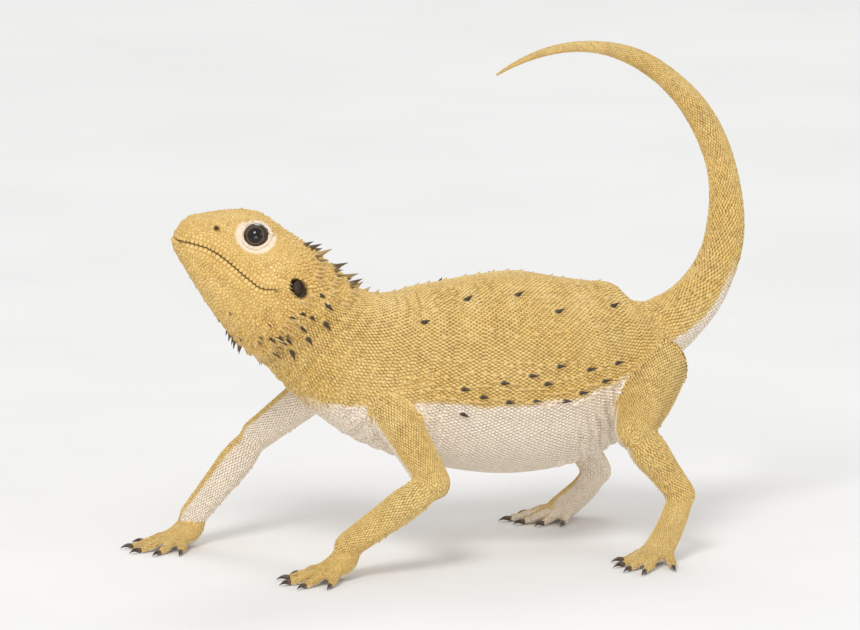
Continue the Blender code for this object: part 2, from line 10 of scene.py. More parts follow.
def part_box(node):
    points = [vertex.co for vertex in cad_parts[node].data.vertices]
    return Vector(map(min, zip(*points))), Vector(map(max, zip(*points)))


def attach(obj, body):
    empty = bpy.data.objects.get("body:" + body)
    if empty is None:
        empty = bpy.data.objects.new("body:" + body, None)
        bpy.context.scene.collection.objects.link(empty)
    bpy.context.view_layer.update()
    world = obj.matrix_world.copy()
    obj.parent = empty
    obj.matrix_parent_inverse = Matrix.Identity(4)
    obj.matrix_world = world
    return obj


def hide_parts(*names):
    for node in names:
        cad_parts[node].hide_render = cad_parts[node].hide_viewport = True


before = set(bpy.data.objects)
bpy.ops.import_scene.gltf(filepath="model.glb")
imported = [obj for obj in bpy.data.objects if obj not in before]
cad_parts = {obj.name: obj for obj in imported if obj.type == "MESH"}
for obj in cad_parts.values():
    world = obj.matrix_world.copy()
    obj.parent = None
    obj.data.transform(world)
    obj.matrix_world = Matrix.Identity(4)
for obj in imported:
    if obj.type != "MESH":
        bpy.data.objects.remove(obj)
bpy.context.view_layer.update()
bpy.ops.object.select_all(action="DESELECT")

# ------------------------------------------------------------------ skin
# The hide of a central bearded dragon, Pogona vitticeps: one tough rubbery skin over head, trunk, limbs and
# tail. Each part starts as a closed form along its own line, all are fused into one mesh, and the face is
# worked into it. Sizes are in millimetres, and the solid model's left eye says where they lie in the frame.


def unit(vectors):
    """These vectors, each drawn out or in to a length of 1."""
    vectors = np.asarray(vectors, float)
    return vectors / np.maximum(np.linalg.norm(vectors, axis=-1, keepdims=True), 1e-9)


def run(points):
    """How far each of these points lies along the line through them."""
    return np.concatenate([[0.0], np.cumsum(np.linalg.norm(np.diff(points, axis=0), axis=1))])


def smooth_rows(rows, at):
    """Values read at these places from a smooth curve through the rows, each a place and its values."""
    rows = np.array(rows, float)
    knots, values = rows[:, 0], rows[:, 1:]
    slopes = np.gradient(values, knots, axis=0)
    at = np.clip(np.array(at, float), knots[0], knots[-1])
    first = np.clip(np.searchsorted(knots, at, side="right") - 1, 0, len(knots) - 2)
    span = (knots[first + 1] - knots[first])[:, None]
    share = (at - knots[first])[:, None] / span
    square, cube = share**2, share**3
    return (
        (2 * cube - 3 * square + 1) * values[first]
        + (cube - 2 * square + share) * span * slopes[first]
        + (3 * square - 2 * cube) * values[first + 1]
        + (cube - square) * span * slopes[first + 1]
    )


# The head points up by its pitch and away from the body's line by its turn.
snout = np.array((-142.0, 14.0, 146.0))
head_pitch, head_turn = math.radians(29), math.radians(12)
head_ahead = np.array(
    (
        -math.cos(head_pitch) * math.cos(head_turn),
        math.cos(head_pitch) * math.sin(head_turn),
        math.sin(head_pitch),
    )
)
head_side = np.array((math.sin(head_turn), math.cos(head_turn), 0.0))
head_up = np.cross(head_side, head_ahead)
head_axes = np.array((-head_ahead, head_side, head_up))


def in_head(behind, across, above):
    """Points at these distances behind the snout's tip, across the head and above its midline."""
    return snout + np.stack(np.broadcast_arrays(behind, across, above), -1).astype(float) @ head_axes


def head_place(points):
    """How far behind the snout's tip, across the head and above its midline these points lie."""
    return (points - snout) @ head_axes.T


eye_place = np.array((29.8, 14.8, 17.6))
low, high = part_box("eye_left")
shift = np.array((low + high) / 2) - in_head(*(eye_place * (1, -1, 1))) * 0.001


def to_frame(points):
    """Points in the frame, in metres."""
    return points * 0.001 + shift


# Head: how far behind the snout, half width, rise above the centreline and drop below it.
head_sections = (
    (0.0, 4.6, 6.4, 2.9),
    (1.6, 8.2, 9.8, 5.4),
    (5.0, 11.6, 12.8, 8.0),
    (10.0, 13.8, 16.8, 11.0),
    (17.0, 16.6, 21.4, 15.2),
    (24.0, 19.4, 25.0, 19.2),
    (32.0, 22.8, 26.2, 23.4),
    (40.0, 26.2, 25.2, 26.8),
    (48.0, 28.6, 23.8, 29.6),
    (55.0, 28.8, 22.4, 31.4),
    (62.0, 26.4, 21.0, 32.0),
)
# Trunk: the centreline's point, half width, rise and drop.
trunk_sections = (
    (-78.5, 1.2, 104.5, 24.0, 23.0, 31.0),
    (-68.0, 0.3, 95.5, 26.5, 26.5, 33.0),
    (-52.0, 0.0, 87.0, 32.5, 32.5, 37.5),
    (-32.0, 0.0, 81.5, 37.5, 39.0, 41.5),
    (-8.0, 0.0, 78.0, 42.0, 44.5, 44.6),
    (16.0, 0.0, 77.0, 43.0, 45.5, 45.0),
    (38.0, 0.0, 79.0, 40.0, 41.0, 42.4),
    (57.0, 0.0, 83.0, 32.0, 34.5, 33.5),
    (72.0, 0.0, 87.5, 24.0, 27.0, 22.5),
)
# Tail: share of its length, half width and half height.
tail_sections = (
    (0.00, 15.5, 15.0),
    (0.07, 12.8, 12.0),
    (0.16, 10.4, 10.0),
    (0.30, 8.4, 8.2),
    (0.50, 6.2, 6.2),
    (0.70, 3.9, 3.9),
    (0.88, 2.1, 2.1),
    (1.00, 0.9, 0.9),
)
# The tail leaves the hips level, rears up, and curls forward, with a slow swing to the side and back.
tail_length, tail_steps = 227.0, 46
tail_line = [np.array((81.5, 0.0, 93.2))]
for k in range(tail_steps):
    gone = (k + 0.5) * tail_length / tail_steps
    heading = math.radians((48.5 + 0.705 * gone) * (1 - math.exp(-(gone + 32) / 41)))
    swing = math.radians(14) * math.sin(math.pi * gone / tail_length / 0.54)
    step = (math.cos(swing) * math.cos(heading), math.sin(swing), math.cos(swing) * math.sin(heading))
    tail_line.append(tail_line[-1] + np.array(step) * tail_length / tail_steps)
tail_sizes = smooth_rows(tail_sections, np.linspace(0, 1, tail_steps + 1))
# One centreline from snout to tail's tip. A section ends in how square it is above and below: 2 is an oval.
rows = [(*in_head(behind, 0, 0), wide, rise, drop, 2.9, 2.3) for behind, wide, rise, drop in head_sections]
rows += [(*row, 2.15, 2.15) for row in trunk_sections]
rows += [(*point, wide, high, high, 2.0, 2.0) for point, (wide, high) in zip(tail_line, tail_sizes)]
rows = np.array(rows)
gone = run(rows[:, :3])
head_end, neck_end, body_end = 62.0, 92.0, float(gone[-1])


class Strand:
    """A line through a part of the body with its section at each place: centre, axes and sizes."""

    def __init__(self, name, centres, side, sizes, coat):
        self.name = name
        self.centre = np.array(centres, float)
        self.at = run(self.centre)
        self.ahead = unit(np.gradient(self.centre, self.at, axis=0))
        side = np.broadcast_to(np.array(side, float), self.centre.shape)
        self.side = unit(side - self.ahead * np.sum(side * self.ahead, axis=1, keepdims=True))
        self.up = np.cross(self.ahead, self.side)
        self.sizes = np.array(sizes, float)
        self.coat = np.broadcast_to(np.array(coat, float), self.at.shape)

    def read(self, at):
        """Centre, ahead, side, up and sizes at these distances along the strand."""

        def mixed(table):
            return np.stack([np.interp(at, self.at, column) for column in table.T], -1)

        axes = (unit(mixed(table)) for table in (self.ahead, self.side, self.up))
        return (mixed(self.centre), *axes, mixed(self.sizes))

    def rim(self, at, turn, inside=0.0):
        """Points of the outline at these distances and turns. A turn of 0 is the top, a quarter is +side."""
        centre, _, side, up, sizes = self.read(at)
        across, height = np.sin(turn), np.cos(turn)
        power = np.where(height > 0, sizes[:, 3], sizes[:, 4])
        tall = np.where(height > 0, sizes[:, 1], sizes[:, 2]) - inside
        wide = sizes[:, 0] - inside
        x = wide * np.sign(across) * np.abs(across) ** (2 / power)
        z = tall * np.sign(height) * np.abs(height) ** (2 / power)
        return centre + side * x[:, None] + up * z[:, None]

    def rings(self, sides):
        """Rings of points along the strand, inside its outline by the depth of the coat of scales."""
        turns = np.arange(sides) / sides * 2 * math.pi
        return [self.rim(np.full(sides, at), turns, coat) for at, coat in zip(self.at, self.coat)]

    def find(self, points):
        """For each point: how far along the strand, its turn, and its distance as a share of the outline."""
        room = self.sizes[:, :3].max() * 1.6 + 3
        low, high = self.centre.min(axis=0) - room, self.centre.max(axis=0) + room
        near = np.all((points > low) & (points < high), axis=1)
        if not near.all():
            at, turn = np.full(len(points), self.at[0]), np.zeros(len(points))
            share = np.full(len(points), 9.0)
            if near.any():
                at[near], turn[near], share[near] = self.find(points[near])
            return at, turn, share
        best = np.full(len(points), np.inf)
        index = np.zeros(len(points), int)
        for pick in np.arange(0, len(self.at), max(1, len(self.at) // 160)):
            off = np.sum((points - self.centre[pick]) ** 2, axis=1)
            closer = off < best
            best[closer] = off[closer]
            index[closer] = pick
        at = self.at[index] + np.sum((points - self.centre[index]) * self.ahead[index], axis=1)
        beyond = np.maximum(0, np.maximum(self.at[0] - at, at - self.at[-1]))
        at = np.clip(at, self.at[0], self.at[-1])
        centre, _, side, up, sizes = self.read(at)
        x = np.sum((points - centre) * side, axis=1)
        z = np.sum((points - centre) * up, axis=1)
        power = np.where(z > 0, sizes[:, 3], sizes[:, 4])
        x, z = x / sizes[:, 0], z / np.where(z > 0, sizes[:, 1], sizes[:, 2])
        share = (np.abs(x) ** power + np.abs(z) ** power) ** (1 / power)
        turn = np.arctan2(np.sign(x) * np.abs(x) ** (power / 2), np.sign(z) * np.abs(z) ** (power / 2))
        return at, turn, share + beyond / np.maximum(sizes[:, 0], 1.0)


body_at = np.arange(0, body_end + 0.5, 1.0)
body_values = smooth_rows(np.column_stack([gone, rows]), body_at)
body_coat = np.interp(body_at, (0, 8, 60, 80, 330, body_end), (0.45, 0.55, 0.6, 0.9, 0.8, 0.25))
# The thin end of the tail goes into the fusing stouter than it will be, or it breaks up.
fusing_coat = np.where(body_at > 300, np.minimum(body_coat, body_values[:, 3] - 2.3), body_coat)
straight = np.clip((body_at - head_end) / (neck_end - head_end), 0, 1)[:, None]
body_sides = head_side * (1 - straight) + np.array((0.0, 1.0, 0.0)) * straight
body = Strand("body", body_values[:, :3], body_sides, body_values[:, 3:], fusing_coat)
body.at = body_at
strands = [body]


def oval(wide, high, squareness):
    """Sections alike above and below, of these half widths and half heights."""
    square = np.full(len(wide), squareness)
    return np.column_stack([wide, high, high, square, square])


# Each limb: shoulder or hip, elbow or knee, wrist or ankle.
limb_joints = {
    "arm_left": ((-56.0, -18.0, 75.0), (-44.0, -55.0, 41.0), (-83.0, -51.0, 14.5)),
    "arm_right": ((-66.0, 18.0, 78.0), (-96.5, 40.5, 47.5), (-128.0, 36.0, 13.5)),
    "leg_left": ((75.0, -12.0, 80.0), (50.0, -52.0, 58.0), (72.5, -52.0, 28.0)),
    "leg_right": ((72.0, 12.0, 79.0), (46.0, 48.0, 53.0), (66.0, 44.0, 20.0)),
}
# Each length of a limb: share of its length, half width and half height.
limb_sizes = {
    "arm": {
        "upper_arm": ((0.0, 12.5, 10.5), (0.45, 9.8, 9.2), (0.8, 8.4, 8.2), (1.0, 7.8, 7.8)),
        "forearm": ((0.0, 6.0, 6.0), (0.3, 8.4, 7.8), (0.6, 7.6, 7.2), (1.0, 6.8, 6.4)),
    },
    "leg": {
        "thigh": ((0.0, 14.5, 16.0), (0.4, 13.4, 14.6), (0.8, 10.6, 11.4), (1.0, 9.2, 9.4)),
        "shank": ((0.0, 7.0, 7.0), (0.3, 9.4, 8.8), (0.65, 8.0, 7.6), (1.0, 7.2, 6.8)),
    },
}
joint_dome = np.radians((25, 50, 70, 83))
for limb, joints in limb_joints.items():
    kind, flank = limb.split("_")
    for (name, table), start, end in zip(limb_sizes[kind].items(), joints, joints[1:]):
        start, end = np.array(start), np.array(end)
        line = unit(end - start)
        shares = np.linspace(0, 1, int(np.linalg.norm(end - start)))
        sizes = smooth_rows(table, shares)
        rounded = end + np.outer(np.sin(joint_dome) * sizes[-1].mean() * 0.95, line)
        centres = np.vstack([start + np.outer(shares, end - start), rounded])
        sizes = np.vstack([sizes, np.outer(np.cos(joint_dome), sizes[-1])])
        side = np.cross(line, (0, 0, 1))
        strands.append(Strand(f"{name}_{flank}", centres, side, oval(*sizes.T, 2.1), 0.75))

# Digits, inner to outer: how far on and across they start, splay in degrees, length and thickness.
hand_digits = (
    (6.5, -5.6, -46.0, 9.8, 2.6),
    (9.4, -3.6, -22.0, 13.4, 2.7),
    (10.6, 0.0, 0.0, 15.6, 2.75),
    (9.6, 3.6, 20.0, 15.2, 2.7),
    (6.6, 5.6, 46.0, 11.2, 2.6),
)
foot_digits = (
    (5.4, -5.6, -40.0, 9.4, 2.5),
    (7.6, -3.3, -15.0, 13.0, 2.6),
    (8.6, -0.4, 3.0, 16.6, 2.7),
    (8.0, 2.7, 19.0, 19.2, 2.7),
    (3.4, 5.2, 44.0, 12.2, 2.5),
)
# A digit's knuckles and pads: share of its length, height over the ground and width as a share.
digit_form = (
    (-0.30, 1.2, 1.0),
    (0.0, 2.2, 1.10),
    (0.16, 2.6, 0.94),
    (0.33, 2.3, 1.06),
    (0.50, 1.5, 0.90),
    (0.66, 0.9, 1.02),
    (0.84, 0.35, 0.84),
    (1.0, 0.15, 0.86),
)
digit_dome = np.radians((30, 60, 82))
# Hands and feet: limb, digits, turn in degrees, which way is outward, reach past the joint, palm's height.
extremities = {
    "hand_left": ("arm_left", hand_digits, 12.0, 1.0, 1.5, 5.0),
    "hand_right": ("arm_right", hand_digits, 18.0, -1.0, 1.5, 5.0),
    "foot_left": ("leg_left", foot_digits, 36.0, 1.0, 14.0, 5.2),
    "foot_right": ("leg_right", foot_digits, 18.0, -1.0, 15.0, 5.2),
}
upright = np.array((0, 0, 1.0))
claw_places = {}
for name, (limb, digits, turn, outward, reach, palm_height) in extremities.items():
    angle = math.radians(turn)
    ahead = np.array((-math.cos(angle), -math.sin(angle), 0.0))
    beside = np.array((-ahead[1], ahead[0], 0.0)) * outward
    joint = np.array(limb_joints[limb][2])
    root = np.array((joint[0], joint[1], 0.0)) + ahead * reach
    # From the wrist or ankle to the knuckles: place, half width and half height.
    palm = (
        (0.0, *joint, 6.3, 5.9),
        (1.0, *(joint + (root + upright * palm_height - joint) * 0.5), 6.6, 6.0),
        (2.0, *(root + ahead * 3.0 + upright * (palm_height + 1.0)), 7.6, 5.8),
        (3.0, *(root + ahead * 7.6 + upright * 4.4), 7.8, 4.6),
        (4.0, *(root + ahead * 11.4 + upright * 3.2), 5.2, 3.0),
    )
    values = smooth_rows(palm, np.linspace(0, 4, 26))
    strands.append(Strand(name, values[:, :3], beside, oval(values[:, 3], values[:, 4], 2.3), 0.55))
    for number, (onward, across, splay, length, thick) in enumerate(digits, 1):
        splay = math.radians(splay)
        line = ahead * math.cos(splay) + beside * math.sin(splay)
        start = root + ahead * onward + beside * across
        knots = []
        for share, lift, wide in digit_form:
            flat = (thick - 0.55) * (1 - max(share, 0)) + 1.2 * max(share, 0)
            centre = start + line * length * share
            knots.append((share, centre[0], centre[1], flat + lift, thick * wide))
        values = smooth_rows(knots, np.linspace(-0.30, 1.0, 30))
        tip, radius = values[-1, :3], values[-1, 3]
        centres = np.vstack([values[:, :3], tip + np.outer(np.sin(digit_dome) * radius * 0.75, line)])
        radii = np.concatenate([values[:, 3], radius * np.cos(digit_dome)])
        strands.append(Strand(f"{name}_digit_{number}", centres, beside, oval(radii, radii, 2.0), 0.35))
        claw_places[f"claw_{name}_{number}"] = (tip, line, radius)


def named(word):
    """Which strands have this word in their name."""
    return np.array([word in strand.name for strand in strands])


def search(places):
    """What each strand finds for these places, the shares alone, and the number of the nearest strand."""
    found = [strand.find(places) for strand in strands]
    shares = np.array([share for _, _, share in found])
    return found, shares, np.argmin(shares, axis=0)


is_digit = named("digit")
is_extremity = named("hand") | named("foot")
is_palm = is_extremity & ~is_digit
is_limb = ~is_extremity & ~named("body")

# Every strand as a closed form, and all of them fused.
body_sides_round, limb_sides_round, digit_sides_round = 72, 32, 20
vertices, faces = [], []
for strand, on_digit in zip(strands, is_digit):
    sides = body_sides_round if strand is body else digit_sides_round if on_digit else limb_sides_round
    rings = strand.rings(sides)
    base = len(vertices)
    vertices.append(strand.centre[0])
    for ring in rings:
        vertices.extend(ring)
    vertices.append(strand.centre[-1])
    last = base + 1 + sides * (len(rings) - 1)
    for k in range(sides):
        after = (k + 1) % sides
        faces.append((base, base + 1 + after, base + 1 + k))
        faces.append((last + sides, last + k, last + after))
        for row in range(len(rings) - 1):
            near = base + 1 + row * sides
            faces.append((near + k, near + after, near + sides + after, near + sides + k))
mesh = bpy.data.meshes.new("skin")
mesh.from_pydata([tuple(v) for v in vertices], [], faces)
skin = bpy.data.objects.new("skin", mesh)
bpy.context.scene.collection.objects.link(skin)
skin.select_set(True)
bpy.context.view_layer.objects.active = skin
bpy.ops.object.mode_set(mode="EDIT")
bpy.ops.mesh.select_all(action="SELECT")
bpy.ops.mesh.normals_make_consistent(inside=False)
bpy.ops.object.mode_set(mode="OBJECT")
fuse = skin.modifiers.new("fuse", "REMESH")
fuse.mode = "VOXEL"
fuse.voxel_size = 1.32
fuse.use_smooth_shade = True
bpy.ops.object.modifier_apply(modifier=fuse.name)


def read_all(items, what, kind=int, width=1):
    """This property of all of a mesh's items, a row to each where it's wider than one number."""
    values = np.zeros(len(items) * width, kind)
    items.foreach_get(what, values)
    return values if width == 1 else values.reshape(-1, width)


def read_points(mesh, what="co"):
    """The places, or the normals, of a mesh's vertices."""
    return read_all(mesh.vertices, what, float, 3)


def write_points(mesh, points):
    """Moves a mesh's vertices to these points."""
    mesh.vertices.foreach_set("co", np.asarray(points, float).ravel())
    mesh.update()


def mean_around(values, edges):
    """The mean of each vertex's neighbours, for rows of values."""
    ends = np.concatenate([edges, edges[:, ::-1]])
    count = np.maximum(np.bincount(ends[:, 0], minlength=len(values)), 1)
    total = [np.bincount(ends[:, 0], column[ends[:, 1]], len(values)) for column in values.T]
    return np.column_stack(total) / count[:, None]


def relax(points, edges, amount, rounds):
    """Points drawn towards their neighbours' mean, and most of the way back so the form doesn't shrink."""
    for turn in range(rounds):
        for pull in (0.55, -0.52 if turn % 4 else -0.50):
            points = points + (mean_around(points, edges) - points) * (pull * amount)[:, None]
    return points


# Where two parts meet, hollows are filled and softened; between digits much less.
points, edges = read_points(skin.data), read_all(skin.data.edges, "vertices", int, 2)
found, shares, nearest = search(points)
second = np.sort(shares, axis=0)[1]
inner = np.zeros((len(points), 3))
for number, (strand, (at, _, _)) in enumerate(zip(strands, found)):
    inner[nearest == number] = strand.read(at[nearest == number])[0]
in_digit = shares[is_digit].min(axis=0) < shares[~is_digit].min(axis=0) * 1.02
join = np.clip((1.30 - second) / 0.30, 0, 1) * np.where(in_digit, 0.15, 1.0)
for _ in range(6):
    join = 0.5 * join + 0.5 * mean_around(join[:, None], edges)[:, 0]
join = np.clip(join * 1.3, 0, 1)
for _ in range(14):
    pull = mean_around(points, edges) - points
    hollow = np.clip(0.35 + np.sum(pull * unit(points - inner), axis=1) / 0.12, 0.1, 1)
    points = points + pull * (0.5 * join * hollow)[:, None]
points = relax(points, edges, np.full(len(points), 1.0), 10)
write_points(skin.data, points)

# A finer mesh for the head and for the tail's end.
along_body, _, off_body = body.find(points)
tail_thins = 385
finer = (head_place(points)[:, 0] < head_end + 1) & (along_body < head_end + 2)
finer |= (along_body > tail_thins) & (off_body < 3)
bpy.context.tool_settings.mesh_select_mode = (True, False, False)
bpy.ops.object.mode_set(mode="EDIT")
bpy.ops.mesh.select_all(action="DESELECT")
bpy.ops.object.mode_set(mode="OBJECT")
skin.data.vertices.foreach_set("select", finer)
bpy.ops.object.mode_set(mode="EDIT")
bpy.ops.mesh.subdivide(number_cuts=1, smoothness=0.6)
bpy.ops.object.mode_set(mode="OBJECT")

# The tail is drawn onto its exact outline, more and more from its root on, with a rounded tip.
tail_root, tail_blend = 262, 30
points, edges = read_points(skin.data), read_all(skin.data.edges, "vertices", int, 2)
local = head_place(points)
near_head = local[:, 0] < 70
points = relax(points, edges, near_head * 1.0, 6)
at, turn, share = body.find(points)
centre, ahead, _, _, sizes = body.read(at)
inside = np.interp(at, body_at, body_coat)
beyond = np.sum((points - centre) * ahead, axis=1) > 0.02
snug = body.rim(at, turn, inside)
snug[beyond] = (centre + unit(points - centre) * (sizes[:, :1] - inside[:, None]))[beyond]
on_tail = np.clip((at - tail_root) / tail_blend, 0, 1) * (share < 5)
points += (snug - points) * on_tail[:, None]
write_points(skin.data, points)


def hump(places, spot, reach):
    """1 at the spot and falling away to nothing over its reach."""
    gap = (places - np.array(spot)) / np.array(reach)
    return np.exp(-np.sum(gap**2, axis=1))


def ridge(places, line, reach):
    """1 along a line of spots and falling away to nothing over its reach."""
    line = np.array(line, float)
    best = np.full(len(places), np.inf)
    for start, end in zip(line, line[1:]):
        along = end - start
        share = np.clip((places - start) @ along / (along @ along), 0, 1)
        best = np.minimum(best, np.sum((places - start - np.outer(share, along)) ** 2, axis=1))
    return np.exp(-best / reach**2)


# The ear opening is a slanting oval behind the corner of the mouth.
ear_place = np.array((55.6, 27.0, 7.5))
ear_slant = unit(np.array((-0.88, 0.0, 0.47)))
ear_across = np.cross((0.0, 1.0, 0.0), ear_slant)
ear_long, ear_wide = 5.3, 3.6


def ear_round(places):
    """How far out from the middle of the ear places in the head's axes lie: 1 on the opening's edge."""
    away = places * (1, 0, 1) - ear_place * (1, 0, 1)
    share = np.hypot(away @ ear_slant / ear_long, away @ ear_across / ear_wide)
    return np.where((np.abs(places[:, 1]) > 20) & (places[:, 0] < 68), share, 9.0)


# The line of the mouth: how far behind the snout's tip, and how high.
mouth_line = np.array(
    (
        (-6.0, -1.2), (1.5, -0.9), (5.0, 0.8), (9.0, 2.1), (13.0, 3.0), (18.0, 3.2), (23.5, 2.5), (29.0, 1.4),
        (34.5, 0.4), (39.5, -0.3), (43.0, 0.4), (46.5, 2.6),
    )
)


def above_mouth(places):
    """How far above the line of the mouth places in the head's axes lie."""
    return places[:, 2] - np.interp(places[:, 0], mouth_line[:, 0], mouth_line[:, 1])


# The face is the same on both sides: height, line or spot, and reach.
nostril_place = np.array((13.0, 12.9, 12.4))
face_ridges = {
    "brow": (1.5, ((17, 13.6, 20.5), (23, 15.6, 23.4), (31, 17.2, 24.6), (38, 18.4, 24.0)), 2.2),
    "edge of the snout": (0.7, ((8, 9.6, 13.0), (13, 11.6, 16.8), (18, 13.6, 20.5)), 1.7),
    "jaw crease": (-0.7, ((12, 12.5, -4.6), (24, 17.0, -7.5), (36, 22.5, -10.5), (46, 26.5, -11.5)), 2.0),
    "lower lip": (0.6, ((8, 12.0, -1.2), (20, 16.5, -1.8), (34, 23.0, -4.5), (45, 27.5, -4.5)), 2.0),
}
face_humps = {
    "hollow before the eye": (-1.0, (18, 16.0, 11.0), (6, 5, 4)),
    "jaw muscle": (1.3, (45, 27.0, 3.0), (8, 6, 7)),
    "temple": (0.9, (47, 23.0, 16.0), (7, 5, 5)),
    "dip of the crown": (-0.9, (44, 0.0, 24.0), (10, 5, 6)),
    "corner of the mouth": (-0.7, (46.8, 28.0, 3.0), (1.5, 4, 1.5)),
    "rim of the nostril": (0.6, nostril_place, (2.6, 4, 2.4)),
    "nostril": (-3.0, nostril_place, (1.35, 4, 1.05)),
}
mirrored = local * 1.0
mirrored[:, 1] = np.abs(mirrored[:, 1])
lift = np.zeros(len(points))
for height, line, reach in face_ridges.values():
    lift += height * ridge(mirrored, line, reach)
for height, spot, reach in face_humps.values():
    lift += height * hump(mirrored, spot, reach)
mouth_gap = above_mouth(local)
mouth_corner = 46.8
mouth_reach = np.clip((mouth_corner + 0.4 - local[:, 0]) / 2.0, 0, 1) * near_head
mouth_depth, lip_height, ear_depth, ear_rim = 1.1, 0.35, 3.4, 0.6
lift -= mouth_depth * np.exp(-((mouth_gap / 0.62) ** 2)) * mouth_reach
lift += lip_height * np.exp(-(((np.abs(mouth_gap) - 1.7) / 1.0) ** 2)) * mouth_reach
ear_share = ear_round(local)
lift -= ear_depth * np.clip((1.12 - ear_share) / 0.38, 0, 1)
lift += ear_rim * np.exp(-(((ear_share - 1.32) / 0.22) ** 2))
points = points + read_points(skin.data, "normal") * lift[:, None]

# Each eye: its centre, and the axes along the lids, across them and outwards.
eye_axes = []
for flank in (-1.0, 1.0):
    out = unit(head_side * flank * 0.93 + head_ahead * 0.30 + head_up * 0.20)
    lengthwise = unit(head_ahead - out * (head_ahead @ out))
    centre = in_head(*(eye_place * (1, flank, 1)))
    eye_axes.append((centre, lengthwise, np.cross(out, lengthwise) * flank, out))
ball_radius, lid_radius = 6.1, 6.95
eye_long, eye_high = 5.5, 4.6
lid_roll, lid_inset, lid_crease = 0.45, 1.9, 0.5


def eye_round(places, axes):
    """How far out from the eye's middle places lie, 1 on the lids' edge, and how they lie from its centre."""
    centre, lengthwise, upwards, out = axes
    away = places - centre
    far = np.maximum(np.linalg.norm(away, axis=1), 1e-6)
    wide = np.hypot(away @ lengthwise / eye_long, away @ upwards / eye_high)
    return np.where(away @ out > 0, wide, 9.0), away, far


def on_lids(axes, wide, turn, radius):
    """Places at these turns round an eye, this far out from its middle, on a dome of this radius."""
    centre, lengthwise, upwards, out = axes
    x, y = np.cos(turn) * wide * eye_long, np.sin(turn) * wide * eye_high
    deep = np.sqrt(np.maximum(radius**2 - x**2 - y**2, 1.0))
    return centre + np.outer(x, lengthwise) + np.outer(y, upwards) + np.outer(deep, out)


# Lids: a dome round the ball, open in the middle, with a rolled edge and a crease outside it.
for axes in eye_axes:
    wide, away, far = eye_round(points, axes)
    swell = np.clip((2.15 - wide) / 0.75, 0, 1)
    swell = swell * swell * (3 - 2 * swell)
    sunk = np.clip((1.10 - wide) / 0.16, 0, 1)
    wanted = lid_radius + lid_roll * np.exp(-(((wide - 1.2) / 0.12) ** 2)) - lid_inset * sunk
    wanted -= lid_crease * np.exp(-(((wide - 1.72) / 0.10) ** 2))
    points = points + away / far[:, None] * ((wanted - far) * swell * (far < 13))[:, None]
write_points(skin.data, points)

waves = np.random.default_rng(7)
wave_lines = unit(waves.normal(size=(24, 3)))
wave_starts = waves.uniform(0, 2 * math.pi, 24)


def ripple(places, size, first=0, count=8):
    """Smooth unevenness between about -1 and 1, with features of this size in millimetres."""
    total = np.zeros(len(places))
    for line, start in zip(wave_lines[first : first + count], wave_starts[first : first + count]):
        total += np.sin(places @ line * (2 * math.pi / size) + start)
    return total / count**0.5 / 1.3


# Folds on the neck and at the limbs' roots, a slight unevenness of the trunk, and the loose edge of its side.
at, turn, share = body.find(points)
around = np.abs(turn)
on_neck = np.clip(1 - np.abs(at - 80) / 24, 0, 1) * np.clip(around - 0.5, 0, 1)
neck_folds = np.sin(at * 1.05 + 1.5 * np.sin(turn * 3) + ripple(points, 22))
at_limbs = np.exp(-(((at - 205) / 16) ** 2)) + np.exp(-(((at - 118) / 14) ** 2))
limb_folds = np.sin(at * 1.3 + points[:, 2] * 0.25 + ripple(points, 16)) * np.clip(around - 1.1, 0, 1)
on_trunk_side = np.sin(math.pi * np.clip((at - 112) / 108, 0, 1)) ** 0.5
side_edge = on_trunk_side * np.exp(-(((around - 1.74) / 0.10) ** 2))
neck_depth, limb_depth, edge_width, unevenness = 0.55, 0.6, 1.0, 0.5
lift = neck_depth * on_neck * neck_folds + limb_depth * at_limbs * limb_folds + edge_width * side_edge
lift += unevenness * ripple(points, 34) * np.clip((at - 70) / 30, 0, 1)
points = points + read_points(skin.data, "normal") * (lift * (share < 1.06))[:, None]
points[:, 2] = np.maximum(points[:, 2], 0.32)
write_points(skin.data, points)


